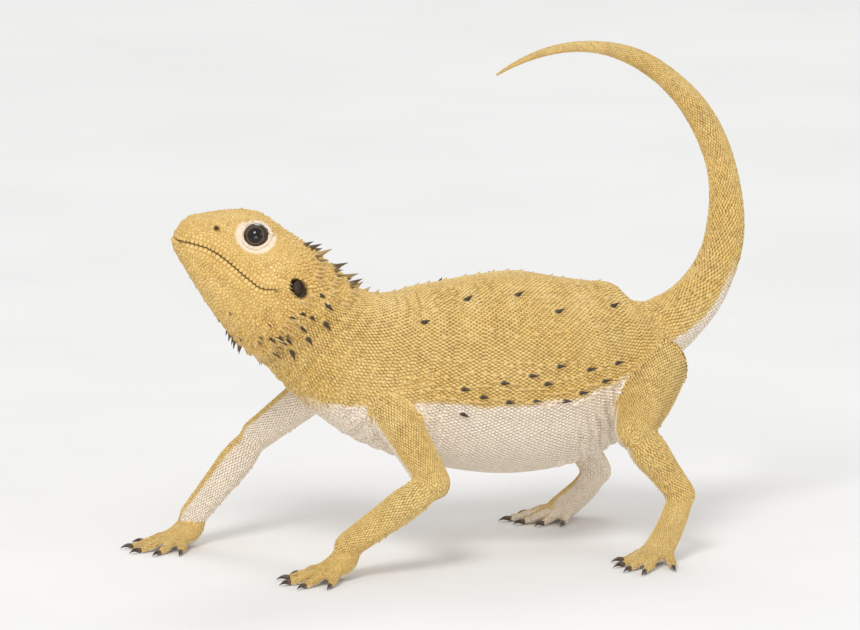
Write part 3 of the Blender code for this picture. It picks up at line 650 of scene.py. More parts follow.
class Finish:
    """A value or a colour in the material being made. Sums and products of them add their Math nodes."""

    tree = None

    def __init__(self, socket):
        self.socket = socket

    @classmethod
    def node(cls, kind, inputs=None, output=0, **settings):
        """A node of this kind, with its settings and with the values or links of its sockets."""
        node = cls.tree.nodes.new("ShaderNode" + kind)
        for name, value in settings.items():
            setattr(node, name, value)
        for name, value in (inputs or {}).items():
            if isinstance(value, Finish):
                cls.tree.links.new(value.socket, node.inputs[name])
            else:
                node.inputs[name].default_value = value
        return cls(node.outputs[output])

    @classmethod
    def start(cls, name, roughness, **sockets):
        """A new material of this roughness, which the next expressions belong to."""
        material = bpy.data.materials.new(name)
        material.use_nodes = True
        cls.tree = material.node_tree
        shader = cls.tree.nodes["Principled BSDF"]
        shader.inputs["Roughness"].default_value = roughness
        for socket, value in sockets.items():
            shader.inputs[socket.replace("_", " ")].default_value = value
        return material

    @classmethod
    def feed(cls, **sockets):
        """Links these expressions to the material's sockets."""
        shader = cls.tree.nodes["Principled BSDF"]
        for socket, value in sockets.items():
            cls.tree.links.new(value.socket, shader.inputs[socket.replace("_", " ")])

    @classmethod
    def place(cls):
        return cls.node("TexCoord", output="Object")

    @classmethod
    def reading(cls, name):
        """What the mesh itself carries under this name."""
        return cls.node("Attribute", attribute_name=name, output="Fac")

    @classmethod
    def sums(cls, operation, *values):
        return cls.node("Math", dict(enumerate(values)), operation=operation)

    @classmethod
    def mix(cls, share, first, second):
        first = first if isinstance(first, Finish) else (*first, 1)
        second = second if isinstance(second, Finish) else (*second, 1)
        return cls.node("Mix", {0: share, 6: first, 7: second}, output=2, data_type="RGBA")

    @classmethod
    def noise(cls, scale, detail=3.0, roughness=0.5, where=None):
        inputs = {"Vector": where or cls.place(), "Scale": scale, "Detail": detail, "Roughness": roughness}
        return cls.node("TexNoise", inputs)

    @classmethod
    def bump(cls, height, depth, strength=1.0):
        return cls.node("Bump", {"Height": height, "Distance": depth, "Strength": strength})

    def between(self, low, high):
        """0 at the low value, 1 at the high one, and an even curve between."""
        inputs = {"Value": self, "From Min": low, "From Max": high}
        return Finish.node("MapRange", inputs, interpolation_type="SMOOTHSTEP")

    def __add__(self, other):
        return Finish.sums("ADD", self, other)

    def __sub__(self, other):
        return Finish.sums("SUBTRACT", self, other)

    def __rsub__(self, other):
        return Finish.sums("SUBTRACT", other, self)

    def __mul__(self, other):
        return Finish.sums("MULTIPLY", self, other)

    __radd__ = __add__
    __rmul__ = __mul__


sand = (0.735, 0.490, 0.135)
pale_sand = (0.850, 0.640, 0.270)
brown_sand = (0.400, 0.225, 0.065)
cream = (0.900, 0.790, 0.655)
pale_cream = (0.92, 0.81, 0.67)
shaded_cream = (0.70, 0.56, 0.42)
# The next colour is the near-black of painted shade in the line of the mouth, the nostrils and the ear
# openings.
dark_horn = (0.030, 0.018, 0.010)


def hide_colours():
    """The hide's colour: cream below, sand above with a faint pattern. And a fine grain for its roughness."""
    broad = Finish.noise(38.0, 3.0).between(0.30, 0.72)
    fine = Finish.noise(420.0, 2.0).between(0.25, 0.75)
    above = Finish.mix(broad * 0.5, sand, pale_sand)
    above = Finish.mix(Finish.reading("pale") * 0.55, above, pale_sand)
    above = Finish.mix(Finish.reading("brown") * (0.55 + 0.35 * fine), above, brown_sand)
    below = Finish.mix(broad * 0.35, cream, pale_cream)
    colour = Finish.mix(Finish.reading("cream"), above, below)
    # Near-black painted shade in the line of the mouth, the nostrils and the ear openings.
    return Finish.mix(Finish.reading("dark"), colour, dark_horn), fine


def above_or_below(above, below):
    """One colour on the sandy hide and another on the cream."""
    return Finish.mix(Finish.reading("cream"), above, below)


def smooth_step(values, low, high):
    """0 up to the low value, 1 from the high one on, and an even curve between."""
    share = np.clip((values - low) / (high - low), 0, 1)
    return share * share * (3 - 2 * share)


# Where the cream of the belly begins: how far along the body, and the turn from the top.
cream_edge = np.array(
    (
        (84, 3.1), (90, 2.7), (96, 2.4), (102, 2.2), (108, 2.08), (116, 1.92), (128, 1.80), (145, 1.73),
        (196, 1.67), (220, 1.60), (238, 1.60), (262, 1.97),
    )
)
band_gap, ring_gap, shin_top = 21.0, 19.0, 48


def markings(places, normals):
    """The shares of cream, pale, brown and painted shade at these places on the hide."""
    found, _, nearest = search(places)
    at, turn, _ = found[0]
    around = np.abs(turn)
    head = head_place(places)
    on_body, on_extremity = nearest == 0, is_extremity[nearest]

    # Cream: the belly and the tail's root, the inner sides of the limbs, the soles and the lids.
    edge = np.interp(at, *cream_edge.T) + 0.04 * ripple(places, 15)
    belly = smooth_step(around, edge - 0.035, edge + 0.035)
    belly *= smooth_step(at, 84, 100) * (1 - smooth_step(at, 272, 292))
    inward = np.where(named("right")[nearest], -1.0, 1.0) * normals[:, 1]
    below_knee = named("foot")[nearest] | (named("shank")[nearest] & (places[:, 2] < shin_top))
    upward = np.where(below_knee, 0.15, 0.55) * normals[:, 2]
    inner = smooth_step(inward - upward - 0.25 * normals[:, 0], 0.08, 0.30)
    inner = np.where(named("hand")[nearest], 0.0, inner)
    sole = np.where(on_extremity, smooth_step(-normals[:, 2], 0.25, 0.6), 0)
    creamy = np.where(on_body, belly, np.maximum(inner, sole))

    # Pale ovals beside the spine, bands on the back, rings on the tail, blotches on the limbs, and speckles.
    bands = 0.5 + 0.5 * np.cos((at - 100) * 2 * math.pi / band_gap)
    saddle = smooth_step(at, 76, 96) * (1 - smooth_step(at, 236, 262))
    ovals = np.exp(-(((around - 0.42 - 0.1 * bands) / 0.24) ** 2)) * smooth_step(bands, 0.45, 0.9)
    pale = np.where(on_body, ovals * saddle * 0.8, 0.15)
    over_back = (1 - smooth_step(around, 1.0, 1.6)) * saddle
    brown = (1 - bands) ** 2 * over_back * (0.55 + 0.45 * ripple(places, 9, 8)) * 0.30
    ringed = 0.5 + 0.5 * np.cos((at - 262) * 2 * math.pi / ring_gap + 0.4 * ripple(places, 20))
    over_tail = smooth_step(at, 250, 280) * (1 - smooth_step(around, 1.7, 2.4))
    brown = np.maximum(brown, over_tail * smooth_step(ringed, 0.55, 0.95) * 0.26)
    blotches = smooth_step(0.5 + 0.5 * ripple(places, 12, 12), 0.55, 1.0) * 0.22
    brown = np.where(on_body, brown, blotches)
    speckle = smooth_step(ripple(places, 5.5, 4), 0.75, 1.25)
    brown = np.maximum(brown, 0.30 * speckle) + 0.16 * on_body * (1 - smooth_step(at, 52, 90))
    brown = np.clip(brown, 0, 1)
    for axes in eye_axes:
        wide, _, far = eye_round(places, axes)
        lid = (1 - smooth_step(wide, 1.55, 1.8)) * (far < 12)
        creamy = np.maximum(creamy, lid * 0.9)
        brown, pale = brown * (1 - lid), pale * (1 - lid)

    # Painted shade, near-black: the line of the mouth, the nostrils and the ear openings, where the hide
    # sinks in.
    mouth = np.clip(1.5 - np.abs(above_mouth(head)) / 0.6, 0, 1) * (head[:, 0] < mouth_corner) * on_body
    either_side = np.stack([head[:, 0], np.abs(head[:, 1]), head[:, 2]], -1)
    nostril = np.clip((hump(either_side, nostril_place, (1.6, 9, 1.3)) - 0.40) * 5, 0, 0.97)
    ear = np.clip((1.03 - ear_round(head)) / 0.09, 0, 1) * 0.97
    dark = np.maximum(np.maximum(mouth * 0.75, nostril), ear)
    return {"cream": creamy, "pale": pale * (1 - creamy), "brown": brown * (1 - creamy), "dark": dark}


def give_readings(mesh, readings):
    """Writes values on a mesh's vertices, for its material to read by name."""
    for name, values in readings.items():
        mesh.attributes.new(name, "FLOAT", "POINT").data.foreach_set("value", np.asarray(values, np.float32))


skin_points, skin_normals = read_points(skin.data), read_points(skin.data, "normal")
give_readings(skin.data, markings(skin_points, skin_normals))

hide = Finish.start("dragon_hide", 0.62, Specular_IOR_Level=0.35)
colour, fine = hide_colours()
# Painted shade in the grooves between the hide's pebbles: brown on the sand and shaded cream on the belly,
# and none in the painted shade of the mouth, nostrils and ears.
pebbles = Finish.node("TexVoronoi", {"Vector": Finish.place(), "Scale": 900.0}, feature="F1")
groove_shade = pebbles.between(0.1, 0.7) * (0.35 - 0.35 * Finish.reading("dark"))
colour = Finish.mix(groove_shade, colour, above_or_below(brown_sand, shaded_cream))
Finish.feed(Base_Color=colour, Roughness=0.55 + 0.18 * fine, Normal=Finish.bump(1 - pebbles, 0.00022, 0.7))
skin.data.materials.clear()
skin.data.materials.append(hide)

tree = BVHTree.FromPolygons(
    [Vector(point) for point in skin_points],
    [tuple(face.vertices) for face in skin.data.polygons],
)
bpy.ops.object.mode_set(mode="EDIT")
bpy.ops.mesh.select_all(action="SELECT")
bpy.ops.uv.smart_project(angle_limit=math.radians(66), island_margin=0.002)
bpy.ops.object.mode_set(mode="OBJECT")
skin.data.uv_layers[0].name = "OFBake"
skin.data.shade_smooth()
write_points(skin.data, to_frame(skin_points))
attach(skin, "root")
flesh = ["head", "lower_jaw_and_beard", "neck", "trunk", "tail_1", "tail_2", "tail_3", "tail_4"]
limb_parts = ("upper_arm", "forearm", "hand", "thigh", "shank", "foot")
flesh += [f"{part}_{flank}" for part in limb_parts for flank in ("left", "right")]
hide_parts(*flesh)

# ------------------------------------------------------------------ eyes
# Each eye is a glass ball with a clear domed front over a dark brown iris and a wide round pupil. It's set
# into the socket behind the lids, looking out and a little ahead.

glass_eye = Finish.start("glass_eye", 0.15, Specular_IOR_Level=0.08, Coat_Weight=0.75, Coat_Roughness=0.02)
gaze = Finish.reading("gaze")
pupil_edge, iris_edge, dome_height = 0.62, 0.80, 0.55
spokes = Finish.noise(1.0, 4.0, 0.6, Finish.node("Attribute", attribute_name="spokes", output="Vector"))
iris = Finish.mix(spokes.between(0.3, 0.7), (0.016, 0.008, 0.004), (0.075, 0.032, 0.010))
iris = Finish.mix((gaze + (spokes - 0.5) * 0.02).between(0.70, 0.64), iris, (0.22, 0.115, 0.030))
iris = Finish.mix(gaze.between(iris_edge, iris_edge + 0.12), iris, (0.02, 0.010, 0.005))
pupil = gaze.between(pupil_edge + 0.015, pupil_edge - 0.01)
Finish.feed(Base_Color=Finish.mix(pupil, iris, (0.004, 0.0035, 0.003)))

for flank, (centre, lengthwise, upwards, out) in zip(("left", "right"), eye_axes):
    bpy.ops.mesh.primitive_uv_sphere_add(
        segments=72,
        ring_count=54,
        radius=0.001 * ball_radius,
        location=to_frame(centre),
        rotation=Vector(out).to_track_quat("Z", "Y").to_euler(),
    )
    eye = bpy.context.object
    bpy.ops.object.transform_apply(location=False, rotation=True, scale=True)
    eye.name = eye.data.name = f"glass_eye_{flank}"
    offsets = read_points(eye.data) * 1000
    facing = offsets @ out / ball_radius
    angle = np.arccos(np.clip(facing, -1, 1))
    offsets += np.outer(dome_height * smooth_step(facing, 0.70, 0.98), out)
    give_readings(eye.data, {"gaze": angle})
    around = unit(np.column_stack([offsets @ lengthwise, offsets @ upwards]))
    wheel = np.column_stack([around * 5.0, angle * 2.0]).astype(np.float32)
    eye.data.attributes.new("spokes", "FLOAT_VECTOR", "POINT").data.foreach_set("vector", wheel.ravel())
    write_points(eye.data, to_frame(centre + offsets))
    eye.location = (0, 0, 0)
    bpy.ops.object.shade_smooth()
    eye.data.materials.append(glass_eye)
    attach(eye, "root")
    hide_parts(f"eye_{flank}")

# ------------------------------------------------------------------ eardrums
# Each eardrum is a thin dark skin stretched across the bottom of the ear opening. The solid model's own piece
# is kept and given its finish.

drum = Finish.start("ear_drum", 0.45, Specular_IOR_Level=0.4)
mottle = Finish.noise(600.0).between(0.3, 0.7)
Finish.feed(Base_Color=Finish.mix(mottle, (0.020, 0.012, 0.007), (0.07, 0.038, 0.018)))
for flank in ("left", "right"):
    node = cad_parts[f"eardrum_{flank}"]
    node.data.materials.clear()
    node.data.materials.append(drum)
    node.data.shade_smooth()

# ------------------------------------------------------------------ claws
# Five claws to a foot, of dark horn, thick where they leave the digit and drawn down to a point. One is drawn
# out of a disc, section by section, and copied to each digit.

horn = Finish.start("dark_horn", 0.32, Coat_Weight=0.25, Coat_Roughness=0.2)
streaks = Finish.noise(160.0, 4.0, 0.6).between(0.35, 0.75)
tone = Finish.mix(Finish.reading("tip").between(0.0, 0.45), (0.13, 0.075, 0.035), (0.028, 0.018, 0.012))
Finish.feed(
    Base_Color=Finish.mix(streaks * 0.5, tone, (0.10, 0.06, 0.035)),
    Roughness=0.24 + 0.2 * streaks,
    Normal=Finish.bump(streaks, 0.00008, 0.5),
)
# Share of the claw's length, lift in millimetres, and thickness; the first is the disc itself.
claw_length, claw_root = 0.005, (-0.28, -0.1, 1.1)
claw_rows = (
    (0.0, 0.1, 1.20),
    (0.16, 0.30, 1.10),
    (0.34, 0.42, 0.92),
    (0.52, 0.34, 0.72),
    (0.70, 0.10, 0.50),
    (0.86, -0.30, 0.30),
    (1.0, -0.80, 0.10),
)
bpy.ops.mesh.primitive_circle_add(
    vertices=14, radius=0.001 * claw_root[2], fill_type="NGON", rotation=(0, math.radians(90), 0)
)
pattern = bpy.context.object
pattern.name = "claw_pattern"
bpy.ops.object.transform_apply(location=True, rotation=True, scale=True)
bpy.ops.object.mode_set(mode="EDIT")
bpy.ops.mesh.select_all(action="SELECT")
bpy.ops.transform.translate(value=(claw_length * claw_root[0], 0, 0.001 * claw_root[1]))
last = claw_root
for share, lift, thick in claw_rows:
    onward = (claw_length * (share - last[0]), 0, 0.001 * (lift - last[1]))
    bpy.ops.mesh.extrude_region_move(TRANSFORM_OT_translate={"value": onward})
    shrink = thick / last[2]
    middle = (claw_length * share, 0, 0.001 * lift)
    bpy.ops.transform.resize(value=(shrink, shrink, shrink), center_override=middle)
    last = (share, lift, thick)
bpy.ops.mesh.select_all(action="SELECT")
bpy.ops.transform.resize(value=(1, 0.82, 1))
bpy.ops.mesh.normals_make_consistent(inside=False)
bpy.ops.object.mode_set(mode="OBJECT")
bpy.ops.object.shade_smooth()
give_readings(pattern.data, {"tip": read_points(pattern.data)[:, 0] / claw_length})
pattern.data.materials.append(horn)
claw_clearance = 1.32
for name, (tip, line, radius) in claw_places.items():
    claw = pattern.copy()
    claw.data = pattern.data.copy()
    claw.name = claw.data.name = f"horn_{name}"
    bpy.context.scene.collection.objects.link(claw)
    bpy.ops.object.select_all(action="DESELECT")
    claw.select_set(True)
    bpy.context.view_layer.objects.active = claw
    start = tip + line * (radius * 0.6 + 0.3)
    start[2] = max(start[2], claw_clearance)
    claw.location = to_frame(start)
    claw.rotation_euler = (0, 0, math.atan2(line[1], line[0]))
    bpy.ops.object.transform_apply(location=True, rotation=True, scale=True)
    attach(claw, "root")
    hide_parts(name)
bpy.data.objects.remove(pattern)

# ------------------------------------------------------------------ scales
# Thousands of small horny scales set in the hide. On the trunk, limbs and tail they are thin, keeled and
# pointed, in slanting rows that overlap towards the tail. One is shaped and copied to each root.

loop_vertex = read_all(skin.data.loops, "vertex_index")
face_start, face_count = (read_all(skin.data.polygons, what) for what in ("loop_start", "loop_total"))
skin_map = np.zeros((len(loop_vertex), 2))
if skin.data.uv_layers:
    skin_map = read_all(skin.data.uv_layers["OFBake"].uv, "vector", float, 2)


def settle(places, reach):
    """These places moved onto the hide: which lie within reach, where, its normal, and its map there."""
    hits = [tree.find_nearest(Vector(place), reach) for place in places]
    kept = np.array([hit[0] is not None for hit in hits], bool)
    where = np.array([hit[0] for hit in hits if hit[0] is not None], float).reshape(-1, 3)
    face = np.array([hit[2] for hit in hits if hit[0] is not None], int)
    normal, chart, total = np.zeros((len(where), 3)), np.zeros((len(where), 2)), np.zeros(len(where))
    for corner in range(4):
        has = face_count[face] > corner
        loop = np.where(has, face_start[face] + corner, face_start[face])
        vertex = loop_vertex[loop]
        weight = has / (np.sum((skin_points[vertex] - where) ** 2, axis=1) + 0.01)
        normal += skin_normals[vertex] * weight[:, None]
        chart += skin_map[loop] * weight[:, None]
        total += weight
    return kept, where, unit(normal), chart / total[:, None]


def look_up(places):
    """Each place's nearest strand, the distance along it and turn round it, and the lie of the scales."""
    found, shares, nearest = search(places)
    least = shares.min(axis=0)
    lie = np.zeros((len(places), 3))
    for strand, (at, _, share) in zip(strands, found):
        weight = np.exp(-(share - least) / 0.10)
        near = weight > 0.01
        if near.any():
            lie[near] += strand.read(at[near])[1] * weight[near][:, None]
    pick = np.arange(len(places))
    at = np.array([at for at, _, _ in found])[nearest, pick]
    turn = np.array([turn for _, turn, _ in found])[nearest, pick]
    return nearest, at, turn, unit(lie)


class Bed:
    """Roots in the hide. What grows there lies along the body, stands on the hide and bears its markings."""

    def __init__(self, places, reach):
        self.kept, self.roots, self.normal, self.chart = settle(places, reach)
        self.nearest, self.at, self.turn, lie = look_up(self.roots)
        self.lie = unit(lie - self.normal * np.sum(lie * self.normal, axis=1, keepdims=True))
        self.beside = np.cross(self.normal, self.lie)
        self.readings = markings(self.roots, self.normal)


# Widths of scales in millimetres.
limb_width = ((0, 30, 52), (1.6, 1.5, 1.2))
palm_width, digit_width, lid_width = 1.02, 0.92, 0.72


def body_grain(at, turn):
    """Width of the body's scales at these distances along it and turns round it."""
    around = np.abs(turn)
    trunk = 1.95 - 0.35 * smooth_step(around, 0.7, 1.3) + 0.10 * smooth_step(around, 1.7, 2.1)
    head = 1.45 - 0.35 * smooth_step(20 - at, 0, 12) + 0.1 * smooth_step(around, 1.9, 2.4)
    grain = head + (trunk - head) * smooth_step(at, 58, 100)
    tail = np.interp(at, (236, 262, 330, 420, body_end), (1.7, 1.85, 1.55, 1.15, 0.6))
    return grain + (tail - grain) * smooth_step(at, 228, 258)


def limb_grain(at, turn):
    """Width of a limb's scales at these distances along it, the same all round."""
    return np.interp(at, *limb_width)


def grain_of(nearest, at, turn, places):
    """Width of the scales anywhere on the hide. They are smallest round the eyes."""
    parts = (nearest == 0, is_limb[nearest], is_palm[nearest])
    grain = np.select(parts, (body_grain(at, turn), limb_grain(at, turn), palm_width), digit_width)
    for axes in eye_axes:
        wide, _, far = eye_round(places, axes)
        grain = np.where(far < 16, np.minimum(grain, lid_width + 0.7 * smooth_step(wide, 1.8, 3.0)), grain)
    return grain


def scale_rows(strand, start, end, widths):
    """Roots in rings round a strand, each ring half a scale out of step with the last."""
    found, at, number, count = [], start, 0, 0
    turns = np.linspace(0, 2 * math.pi, 241)
    signed = np.where(turns > math.pi, turns - 2 * math.pi, turns)
    while at < end:
        everywhere = np.full(len(turns), at)
        width = widths(everywhere, signed)
        steps = np.linalg.norm(np.diff(strand.rim(everywhere, turns), axis=0), axis=1)
        far = np.concatenate([[0.0], np.cumsum(steps * 2 / (width[1:] + width[:-1]))])
        if abs(count - far[-1]) > 0.06 * count:
            count = max(6, int(round(far[-1])))
        picks = (np.arange(count) + 0.5 * (number % 2)) / count * far[-1]
        found.append(strand.rim(np.full(count, at), np.interp(picks, far, turns)))
        at += 0.84 * float(width.mean())
        number += 1
    return np.vstack(found)


# Rows on every strand, kept where that strand is the outermost.
rows = [scale_rows(body, 66.0, body_end - 1.5, body_grain)]
for strand, on_limb, on_palm in zip(strands[1:], is_limb[1:], is_palm[1:]):
    end = strand.at[-1]
    if on_limb:
        rows.append(scale_rows(strand, 3.0, end - 3.5, limb_grain))
    elif on_palm:
        rows.append(scale_rows(strand, 1.0, end, lambda at, turn: np.full_like(at, palm_width)))
    else:
        rows.append(scale_rows(strand, 2.0, end - 1.2, lambda at, turn: np.full_like(at, digit_width)))
owner = np.concatenate([np.full(len(row), number) for number, row in enumerate(rows)])
kept, where, _, _ = settle(np.vstack(rows), 2.6)
row_places = where[search(where)[2] == owner[kept]]

# Loose places all over, to fill what the rows leave bare. The head has no rows, so it has more to a square
# millimetre.
head_loose, other_loose = 3.6, 2.4
corners = [skin_points[loop_vertex[face_start + corner]] for corner in range(3)]
corners.append(skin_points[loop_vertex[face_start + face_count - 1]])
area = np.linalg.norm(np.cross(corners[2] - corners[0], corners[3] - corners[1]), axis=1) / 2
head_faces = (head_place(corners[0])[:, 0] < 72) & (body.find(corners[0])[0] < 70)
chance = np.random.default_rng(11)
loose = []
for faces, each in ((head_faces, head_loose), (~head_faces, other_loose)):
    weight = area * faces
    count = int(weight.sum() * each)
    face = chance.choice(len(area), count, p=weight / weight.sum())
    one, two = chance.random((2, count))[:, :, None]
    a, b, c, d = (corner[face] for corner in corners)
    loose.append((a * (1 - one) + b * one) * (1 - two) + (d * (1 - one) + c * one) * two)
loose = np.vstack(loose)

# Rings of tiny scales on the lids: how far out from the middle of the eye each ring lies.
lid_rings, lid_dome = (1.17, 1.34, 1.52, 1.74, 1.98), 7.2
lids = []
for axes in eye_axes:
    for number, wide in enumerate(lid_rings):
        count = int(2 * math.pi * wide * 5.0 / (0.80 + 0.06 * number))
        turn = (np.arange(count) + 0.5 * (number % 2)) / count * 2 * math.pi
        lids.append(on_lids(axes, wide, turn, lid_dome))
lids = settle(np.vstack(lids), 4.0)[1]

# Rows of larger plates above and below the mouth: height over its line, and the gap from plate to plate.
lip_rows = ((1.4, 2.0), (3.4, 1.75), (-1.4, 2.1), (-3.5, 1.8))
lips = []
for flank in (-1.0, 1.0):
    for offset, gap in lip_rows:
        path = []
        for step in range(140):
            # A quarter circle round the snout's tip, then straight back along the jaw.
            turn = math.radians(min(90, step * 1.5))
            origin = 16.0 + max(0, step - 60) * 0.42
            forward = math.cos(turn) if step < 60 else 0.0
            aim = Vector(np.array((-forward, math.sin(turn) * flank, 0)) @ head_axes)
            behind = max(1.0, origin - 12 * math.cos(turn))
            for _ in range(2):
                height = np.interp(behind, mouth_line[:, 0], mouth_line[:, 1]) + offset
                hit = tree.ray_cast(Vector(in_head(origin, 0.0, height)), aim)[0]
                if hit is None:
                    break
                behind = float(head_place(np.array(hit))[0])
            if hit is not None and behind < 45.5:
                path.append(np.array(hit))
        path = np.array(path)
        far = run(path)
        picks = np.arange(gap * (0.5 if abs(offset) < 2 else 0.0), far[-1], gap)
        lips.append(np.column_stack([np.interp(picks, far, column) for column in path.T]))
lips = np.vstack(lips)


def crowd_of(places):
    """A finder of the nearest of these places."""
    crowd = KDTree(len(places))
    for number, place in enumerate(places):
        crowd.insert(place, number)
    crowd.balance()
    return crowd


def off_eyes(places):
    """How far out from the middle of the nearer eye these places lie, 1 on its lids' edge."""
    shares = []
    for axes in eye_axes:
        wide, _, far = eye_round(places, axes)
        shares.append(wide + (far > 12) * 9)
    return np.min(shares, axis=0)


# Of all these, lids come first, then lips, rows and loose places. Each one that stays clears its own room.
LID, LIP, ROW, LOOSE = range(4)
candidates = np.vstack([lids, lips, row_places, loose])
rank = np.repeat((LID, LIP, ROW, LOOSE), (len(lids), len(lips), len(row_places), len(loose)))
nearest, at, turn, _ = look_up(candidates)
grain = grain_of(nearest, at, turn, candidates)
local = head_place(candidates)
off_nostril = np.linalg.norm((local - nostril_place) * (1, 0, 1) / (1.9, 1, 1.6), axis=1)
off_nostril += 9 * (local[:, 0] > 16)
opening = np.minimum(ear_round(local) / 1.14, off_nostril)
guards = candidates[(opening < 0.92) & (rank == LOOSE)][::6]
in_mouth = (np.abs(above_mouth(local)) < 1.0) & (local[:, 0] < 46.0) & (nearest == 0) & (at < 60)
alive = (off_eyes(candidates) > 1.12) & (opening > 1.0) & ~in_mouth
lid_room, lip_room, row_room, loose_room = 0.55, 1.45, 0.66 * grain, 0.80 * grain
room = np.select([rank == LID, rank == LIP, rank == ROW], [lid_room, lip_room, row_room], loose_room)
crowd = crowd_of(candidates)
for number in np.lexsort((chance.random(len(rank)), rank)):
    if not alive[number]:
        continue
    for _, other, _ in crowd.find_range(candidates[number], float(room[number])):
        first_come = rank[number] == LOOSE or (rank[number] == ROW and other > number)
        if other != number and (first_come or rank[other] > rank[number]):
            alive[other] = False
roots, ranks = candidates[alive], rank[alive]

# Loose places on the head draw apart until they are evenly spread.
movers = np.flatnonzero((nearest[alive] == 0) & (at[alive] < 68) & (ranks == LOOSE))
cloud = loose[(body.find(loose)[0] < 72) & (opening[-len(loose) :] > 0.96)]
for _ in range(7):
    crowd = crowd_of(roots)
    near = np.array([crowd.find(place)[1] for place in cloud])
    held = np.bincount(near, minlength=len(roots))
    total = np.column_stack([np.bincount(near, cloud[:, k], len(roots)) for k in range(3)])
    mean = total / np.maximum(held, 1)[:, None]
    moved = movers[held[movers] > 2]
    roots[moved] += (mean[moved] - roots[moved]) * 0.9

bed = Bed(roots, 5.0)
nearest, at, turn, roots = bed.nearest, bed.at, bed.turn, bed.roots
around = np.abs(turn)
grain = grain_of(nearest, at, turn, roots)


def coat(name, bed, picks, shape, shape_faces, tips, finish, sizes=np.ones((1, 3))):
    """One mesh of many small solids on a bed. Each has its own patch of the hide's map, where its root is."""
    shape = np.broadcast_to(np.asarray(shape, float), (len(picks), *np.shape(shape)[-2:]))
    local = shape * sizes[:, None, :]
    axes = np.stack([bed.lie[picks], bed.beside[picks], bed.normal[picks]], 1)
    where = bed.roots[picks][:, None, :] + np.einsum("nmk,nkj->nmj", local, axes)
    count, each = local.shape[:2]
    flat = np.concatenate([np.array(face) for face in shape_faces])
    starts = np.cumsum([0] + [len(face) for face in shape_faces[:-1]])
    loops = (flat[None] + np.arange(count)[:, None] * each).ravel()
    mesh = bpy.data.meshes.new(name)
    mesh.vertices.add(count * each)
    mesh.vertices.foreach_set("co", to_frame(where).ravel())
    mesh.loops.add(len(loops))
    mesh.loops.foreach_set("vertex_index", loops)
    mesh.polygons.add(count * len(shape_faces))
    mesh.polygons.foreach_set("loop_start", (starts[None] + np.arange(count)[:, None] * len(flat)).ravel())
    mesh.update(calc_edges=True)
    patch = np.clip(shape[..., :2], -1, 1) * 0.0015 + bed.chart[picks][:, None, :]
    mesh.uv_layers.new(name="OFBake").uv.foreach_set("vector", patch.reshape(-1, 2)[loops].ravel())
    given = {reading: np.repeat(values[picks], each) for reading, values in bed.readings.items()}
    given["shade"] = np.repeat(chance.random(count), each)
    given["tip"] = np.broadcast_to(tips, (count, each)).ravel()
    give_readings(mesh, given)
    mesh.materials.append(finish)
    piece = bpy.data.objects.new(name, mesh)
    bpy.context.scene.collection.objects.link(piece)
    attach(piece, "root")
    return piece


# Some scales are paler and some darker. Each is darker at its root and side edges, a painted shade where it
# sinks into the hide, and paler at its tip and keel, partly its own worn colour and partly a painted
# highlight.
scale_finish = Finish.start("horny_scale", 0.5, Specular_IOR_Level=0.45)
colour, fine = hide_colours()
shade, tip = Finish.reading("shade"), Finish.reading("tip")
colour = Finish.mix(shade.between(0.55, 1.0) * 0.34, colour, above_or_below(pale_sand, (0.88, 0.80, 0.68)))
colour = Finish.mix(shade.between(0.35, 0.0) * 0.38, colour, above_or_below(brown_sand, (0.72, 0.58, 0.44)))
# Painted shade at each scale's root. Below it, a painted highlight together with the tip's own worn pale.
root_shade_colour = above_or_below((0.34, 0.19, 0.055), (0.66, 0.53, 0.40))
colour = Finish.mix((1 - tip).between(0.45, 1.0) * 0.36, colour, root_shade_colour)
colour = Finish.mix(tip.between(0.55, 1.0) * 0.30, colour, (0.88, 0.72, 0.45))
worn = Finish.noise(1500.0, 3.0)
Finish.feed(
    Base_Color=colour,
    Roughness=0.40 + 0.22 * fine + 0.1 * worn,
    Normal=Finish.bump(worn, 0.00005, 0.5),
)

# One keeled scale, as shares of its width: six corners round it, and the keel's two ends.
keeled = (
    (-0.55, 0.0, -0.10),
    (-0.15, 0.52, -0.04),
    (0.42, 0.40, 0.05),
    (0.88, 0.0, 0.22),
    (0.42, -0.40, 0.05),
    (-0.15, -0.52, -0.04),
    (-0.12, 0.0, 0.20),
    (0.45, 0.0, 0.30),
)
keeled_faces = ((0, 6, 1), (1, 6, 7, 2), (2, 7, 3), (3, 7, 4), (4, 7, 6, 5), (5, 6, 0), (0, 1, 2, 3, 4, 5))
# How far each corner counts towards the tip, for the colour: the root and side corners take the painted
# shade, and the keel and the tip take the pale and the painted highlight.
keeled_tips = (0.0, 0.2, 0.6, 1.0, 0.6, 0.2, 0.45, 0.8)
plates_end, trunk_start, trunk_end, back_edge, belly_edge = 70, 100, 240, 0.95, 1.75
plate = (nearest == 0) & (at < plates_end + 2.0 * ripple(roots, 9))
on_trunk = (nearest == 0) & (at >= trunk_start) & (at < trunk_end)
on_limb, on_extremity = is_limb[nearest], is_extremity[nearest]
groups = {
    "neck_scales": (nearest == 0) & (at < trunk_start) & ~plate,
    "back_scales": on_trunk & (around < back_edge),
    "flank_scales": on_trunk & (around >= back_edge) & (around < belly_edge),
    "belly_scales": on_trunk & (around >= belly_edge),
    "tail_scales": (nearest == 0) & (at >= trunk_end),
    "arm_scales": on_limb & named("arm")[nearest],
    "leg_scales": on_limb & ~named("arm")[nearest],
    "hand_scales": on_extremity & named("hand")[nearest],
    "foot_scales": on_extremity & named("foot")[nearest],
}
